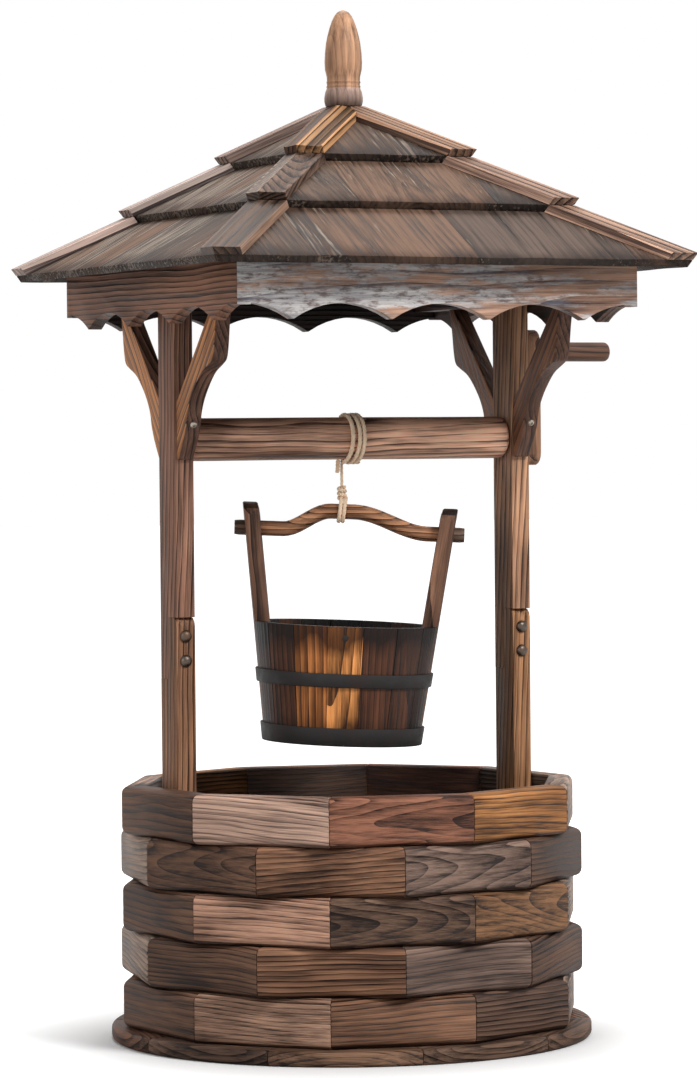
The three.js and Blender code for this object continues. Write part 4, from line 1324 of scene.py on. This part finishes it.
# %% Crank
ARM_OUTER, GRIP_END, GRIP_HEIGHT, GRIP_RADIUS, GRIP_ROUNDING = 238.42, 332, 763, 11, 5
piece = eased_copy("crank_arm", 1.8, "windlass", frame_timber)
lay_grain(piece, (0, 0, 1), (-1, 0, 0), 611, tone(150, 116, 94), arched=False)
grip_start, round_start = ARM_OUTER + 0.05, GRIP_END - GRIP_ROUNDING
grip_line = [(0, grip_start), (GRIP_RADIUS, grip_start), (GRIP_RADIUS, round_start)]
for a in (0.4, 0.8, 1.2, 1.571):
    out, up = GRIP_ROUNDING * math.cos(a), GRIP_ROUNDING * math.sin(a)
    grip_line.append((GRIP_RADIUS - GRIP_ROUNDING + out, round_start + up))
grip_line.append((0, GRIP_END))
bm = spin_round(grip_line, 40)
along_x(bm, GRIP_HEIGHT)
piece = finish_piece("crank_dowel", bm, "windlass", frame_timber, ["crank_grip"], smooth_angle=40)
lay_grain(piece, (1, 0, 0), (0, -1, 0), 612, tone(96, 72, 60), arched=False)

# %% [markdown]
# ## Staves
# A coopered bucket: sixteen tapered staves, two of them long enough to be the ears, held by two iron
# hoops. A stave is a sloping section spun through about a sixteenth of a turn round the Z axis, and
# hang_matrix then hangs it on the rope. Rows of points at the burnt rim and foot let the burn fade.

# %% Staves
RIM_HEIGHT, BUCKET_FOOT, RIM_RADIUS, FOOT_RADIUS, STAVE_THICKNESS = 460, 328, 103.5, 86.6, 12
STAVE_COUNT, STAVE_SLIT, STAVE_TAPER, EAR_HALF, EAR_OUT = 7, 0.004, 0.13, 19, 97
BURN_ROWS = (346, 362, 425, 436, 447)
# Dark side staves and a bright middle: partly scorch, partly painted shade and a painted highlight.
stave_tones_and_light = [
    tone(56, 40, 34), tone(82, 53, 39), tone(178, 116, 68), tone(230, 158, 94), tone(84, 54, 40),
    tone(72, 47, 36), tone(54, 39, 33),
]
stave_section = [
    (FOOT_RADIUS - STAVE_THICKNESS, BUCKET_FOOT), (FOOT_RADIUS, BUCKET_FOOT), (RIM_RADIUS, RIM_HEIGHT),
    (RIM_RADIUS - STAVE_THICKNESS, RIM_HEIGHT),
]
hang_turn = hang_matrix.to_3x3()


def stave_shading(place, normal):
    """Scorched black at the rim and the foot, and darker all over inside, partly scorch and partly painted
    shade.
    """
    share = (place.z / MM - BUCKET_FOOT) / (RIM_HEIGHT - BUCKET_FOOT)
    burn = max(0.0, share - 0.74) * 3.4 + max(0.0, 0.26 - share) * 2.2
    return (0.35, 0.6) if normal.dot(Vector((place.x, place.y, 0)).normalized()) < -0.3 else (1.0, burn)


ear_angle = math.asin(EAR_HALF / EAR_OUT)
span = (math.pi - 2 * ear_angle) / STAVE_COUNT
for half, first, side in (("front", math.pi, -1), ("back", 0, 1)):
    for k in range(STAVE_COUNT):
        start = first + ear_angle + k * span
        bm = spin_section(stave_section, start, span - STAVE_SLIT, 4)
        if k in (0, STAVE_COUNT - 1):
            cut_away(bm, (0, side * (EAR_HALF + CUT_GAP) * MM, 0), (0, -side, 0))
        ease_edges(bm, 0.6, angle=50)
        for height in BURN_ROWS:
            slice_mesh(bm, (0, 0, height * MM), (0, 0, 1))
        bmesh.ops.transform(bm, matrix=hang_matrix, verts=bm.verts)
        piece = finish_piece(f"stave_{half}_{k + 1}", bm, "bucket", bucket_timber, [f"bucket_staves_{half}"])
        away = Vector((math.cos(start + span / 2), math.sin(start + span / 2), 0))
        colour = stave_tones_and_light[k if half == "front" else (2 * k) % STAVE_COUNT]
        lay_grain(
            piece, hang_turn @ (STAVE_TAPER * away + Vector((0, 0, 1))), hang_turn @ away,
            700 + k + (20 if half == "back" else 0), colour, 0.03, 0.03, arched=k in (3, 5),
            shading=stave_shading,
        )

# %% [markdown]
# ## Peg, ears, bottom and hoops
# A small dark peg sits in the front stave, just below the rim. The ears, the bottom and the hoops
# are copies of the model's own shapes, and the ears' top ends are rounded more than the rest,
# because they wear most.

# %% Peg, ears, bottom and hoops
PEG_RADIUS, PEG_DEPTH, PEG_PLACE, PEG_LEAN = 3.4, 5, (0, -100.2, 448), 97.3
EAR_TOP_ROUNDING = 4.5
bm = bmesh.new()
bmesh.ops.create_cone(
    bm, cap_ends=True, segments=20, radius1=PEG_RADIUS * MM, radius2=PEG_RADIUS * MM, depth=PEG_DEPTH * MM,
    matrix=Matrix.Translation(Vector(PEG_PLACE) * MM) @ Matrix.Rotation(math.radians(PEG_LEAN), 4, "X"),
)
ease_edges(bm, 0.5)
bmesh.ops.transform(bm, matrix=hang_matrix, verts=bm.verts)
finish_piece("stave_peg", bm, "bucket", hoop_iron)
up, across = hang_turn @ Vector((0, 0, 1)), hang_turn @ Vector((1, 0, 0))


def round_ear_top(bm):
    """Rounds the two long edges at the ear's top end."""
    top = max(v.co.dot(up) for v in bm.verts)
    ends = [
        e for e in bm.edges
        if min(v.co.dot(up) for v in e.verts) > top - 0.5 * MM
        and abs((e.verts[1].co - e.verts[0].co).normalized().dot(across)) < 0.5
    ]
    round_over(bm, ends, EAR_TOP_ROUNDING, 5)


def ear_shading(place, normal):
    return (0.55, 0.4) if normal.z > 0.5 else (1.0, 0.0)


for side, sign in (("left", -1), ("right", 1)):
    piece = eased_copy(f"bucket_ear_{side}", 1.5, "bucket", bucket_timber, first=round_ear_top)
    lay_grain(
        piece, up + across * STAVE_TAPER * sign, across * sign, 740 + sign, tone(118, 88, 72), 0.0, 0.02,
        arched=False, shading=ear_shading,
    )
piece = eased_copy("bucket_bottom", 0.8, "bucket", bucket_timber)
lay_grain(piece, across, up, 745, tone(70, 50, 40))
for hoop in ("bucket_hoop_middle", "bucket_hoop_bottom"):
    eased_copy(hoop, 0.5, "bucket", hoop_iron, hoop + "_iron")

# %% [markdown]
# ## The bent bar
# The bar is a bent stick through both ears, highest where the rope holds it and bent down more
# steeply on the left. LEFT_BOW and RIGHT_BOW say how far it stays level from the middle and over what
# length it then comes down. A curve with a round bevel can be thinner in places, so its
# thickness wavers as a stick's does. The ends that stand out of the ears are grey with handling.

# %% The bent bar
BAR_HALF, BAR_LOW, BAR_BOW, BAR_RADIUS, BAR_STEPS = 128.3, 563, 21.6, 8.5, 48
LEFT_BOW, RIGHT_BOW = (22, 52), (5, 82)
bar_tone, bar_end_tone, BAR_END = tone(182, 136, 104), tone(118, 100, 88), 100
data = bpy.data.curves.new("bar_line", "CURVE")
data.dimensions, data.bevel_depth, data.bevel_resolution, data.use_fill_caps = "3D", BAR_RADIUS * MM, 8, True
spline = data.splines.new("POLY")
spline.points.add(BAR_STEPS)
for index, target in enumerate(spline.points):
    place = -BAR_HALF + 2 * BAR_HALF * index / BAR_STEPS
    level_part, bent_part = LEFT_BOW if place < 0 else RIGHT_BOW
    share = min(1, max(0, (abs(place) - level_part) / bent_part))
    height = BAR_LOW + BAR_BOW * (1 - share * share * (3 - 2 * share))
    target.co = (*(hang_matrix @ (Vector((place, 0, height)) * MM)), 1)
    wavering = 1 - 0.03 * abs(noise.noise(Vector((index * 0.4, 3, 1))))
    target.radius = 0.93 if index in (0, BAR_STEPS) else wavering
holder = bpy.data.objects.new("bar_line", data)
scene.collection.objects.link(holder)
mesh = bpy.data.meshes.new_from_object(holder.evaluated_get(bpy.context.evaluated_depsgraph_get()))
bpy.data.objects.remove(holder)
piece = finish_mesh("bucket_bar", mesh, "bucket_hanger", frame_timber, ["bucket_handle"], smooth_angle=40)


# The underside gets burn as painted shade; the ends past the ears are greyer with handling.
def bar_shading(place, normal):
    out = abs((hang_matrix.inverted() @ place).x) / MM
    return 1.0, max(0.0, -0.2 - normal.z) * 0.9, bar_tone if out < BAR_END else bar_end_tone


lay_grain(piece, across, (-0.4, -0.9, 0), 750, bar_tone, 0.0, 0.01, arched=False, shading=bar_shading)
print("bar", 2 * BAR_HALF, "mm long")

# %% [markdown]
# ## Lamps
# The photo has broad soft light from above and in front, a weak fill from the left and a little from
# above and behind. A large lamp makes a soft shadow and a small one a hard shadow, so these are discs
# more than a metre across.

# %% Lamps
def soft_lamp(name, place, target, size, power):
    data = bpy.data.lights.new(name, "AREA")
    data.shape, data.size, data.energy = "DISK", size, power
    lamp = bpy.data.objects.new(name, data)
    scene.collection.objects.link(lamp)
    lamp.location = place
    lamp.rotation_mode = "QUATERNION"
    lamp.rotation_quaternion = (Vector(target) - Vector(place)).to_track_quat("-Z", "Y")


soft_lamp("key", (1.3, -3.2, 3.4), (0, 0, 0.5), 1.3, 150)
soft_lamp("fill", (-3.2, -1.8, 1.6), (0, 0, 0.5), 1.6, 26)
soft_lamp("top", (0.2, 0.9, 3.4), (0, 0, 0.4), 1.4, 60)

# %% [markdown]
# ## White surroundings
# The backdrop is white to the camera but gives the wood only 0.3 of that light, so that the lamps
# shape it. The light path node tells the two apart: rays from the camera, and those that were
# mirrored or passed through, see full white.

# %% White surroundings
WORLD_LIGHT = 0.3
world = bpy.data.worlds.new("studio_world")
scene.world = world
world.use_nodes = True
tree = world.node_tree
sky = tree.nodes["Background"]
sky.inputs["Color"].default_value = (1, 1, 1, 1)
rays = tree.nodes.new("ShaderNodeLightPath")
strength = tree.nodes.new("ShaderNodeMapRange")
strength.inputs["To Min"].default_value, strength.inputs["To Max"].default_value = WORLD_LIGHT, 1.0
seen = rays.outputs["Is Camera Ray"]
for kind in ("Is Glossy Ray", "Is Transmission Ray"):
    either = tree.nodes.new("ShaderNodeMath")
    either.operation = "MAXIMUM"
    tree.links.new(seen, either.inputs[0])
    tree.links.new(rays.outputs[kind], either.inputs[1])
    seen = either.outputs[0]
tree.links.new(seen, strength.inputs["Value"])
tree.links.new(strength.outputs[0], sky.inputs["Strength"])
print("light that the surroundings give:", WORLD_LIGHT)

# %% [markdown] ## White floor The floor is white paper that glows a little by itself, so it stays
# white without lamps that would wash out the wood. Close to the base ring it adds nothing of its own,
# so that the ring keeps its soft shadow, and this fading of the glow also paints a soft shade round the
# ring.

# %% White floor
FLOOR_SIZE, SHADOW_START, SHADOW_END, PAPER_END = 30, 0.27, 0.4, 1.5
bm = bmesh.new()
bmesh.ops.create_grid(bm, x_segments=1, y_segments=1, size=FLOOR_SIZE)
mesh = bpy.data.meshes.new("studio_floor")
bm.to_mesh(mesh)
bm.free()
floor = bpy.data.objects.new("studio_floor", mesh)
scene.collection.objects.link(floor)
shop = Shop("studio_white")
rays = shop.add("ShaderNodeLightPath")
paper = shop.blend(rays.outputs["Is Camera Ray"], (0.5, 0.5, 0.5, 1), (0.95, 0.95, 0.95, 1))
shop.feed(shop.shader.inputs["Base Color"], paper)
shop.shader.inputs["Roughness"].default_value = 1
shop.shader.inputs["Specular IOR Level"].default_value = 0
seen = shop.sum("MAXIMUM", rays.outputs["Is Camera Ray"], rays.outputs["Is Glossy Ray"])
seen = shop.sum("MAXIMUM", seen, rays.outputs["Is Transmission Ray"])
place = shop.add("ShaderNodeTexCoord").outputs["Object"]
away = shop.add("ShaderNodeVectorMath", {"operation": "LENGTH"}, _0=place).outputs["Value"]
# The glow fades out towards the ring, which paints a soft shade round it on top of the real shadow.
near_glow = shop.span(away, SHADOW_START, SHADOW_END, 0.0, 0.45)
far_glow = shop.span(away, SHADOW_END, PAPER_END, 0.0, 0.55)
strength = shop.sum("MULTIPLY", seen, shop.sum("ADD", near_glow, far_glow))
glow = shop.add("ShaderNodeEmission", Color=(1, 1, 1, 1), Strength=strength)
both = shop.add("ShaderNodeAddShader", _0=shop.shader.outputs[0], _1=glow.outputs[0])
shop.feed(shop.tree.nodes["Material Output"].inputs["Surface"], both.outputs[0])
mesh.materials.append(shop.material)
scene.view_settings.view_transform = "Standard"
print("floor reaches", max(v.co.x for v in mesh.vertices), "m to each side")
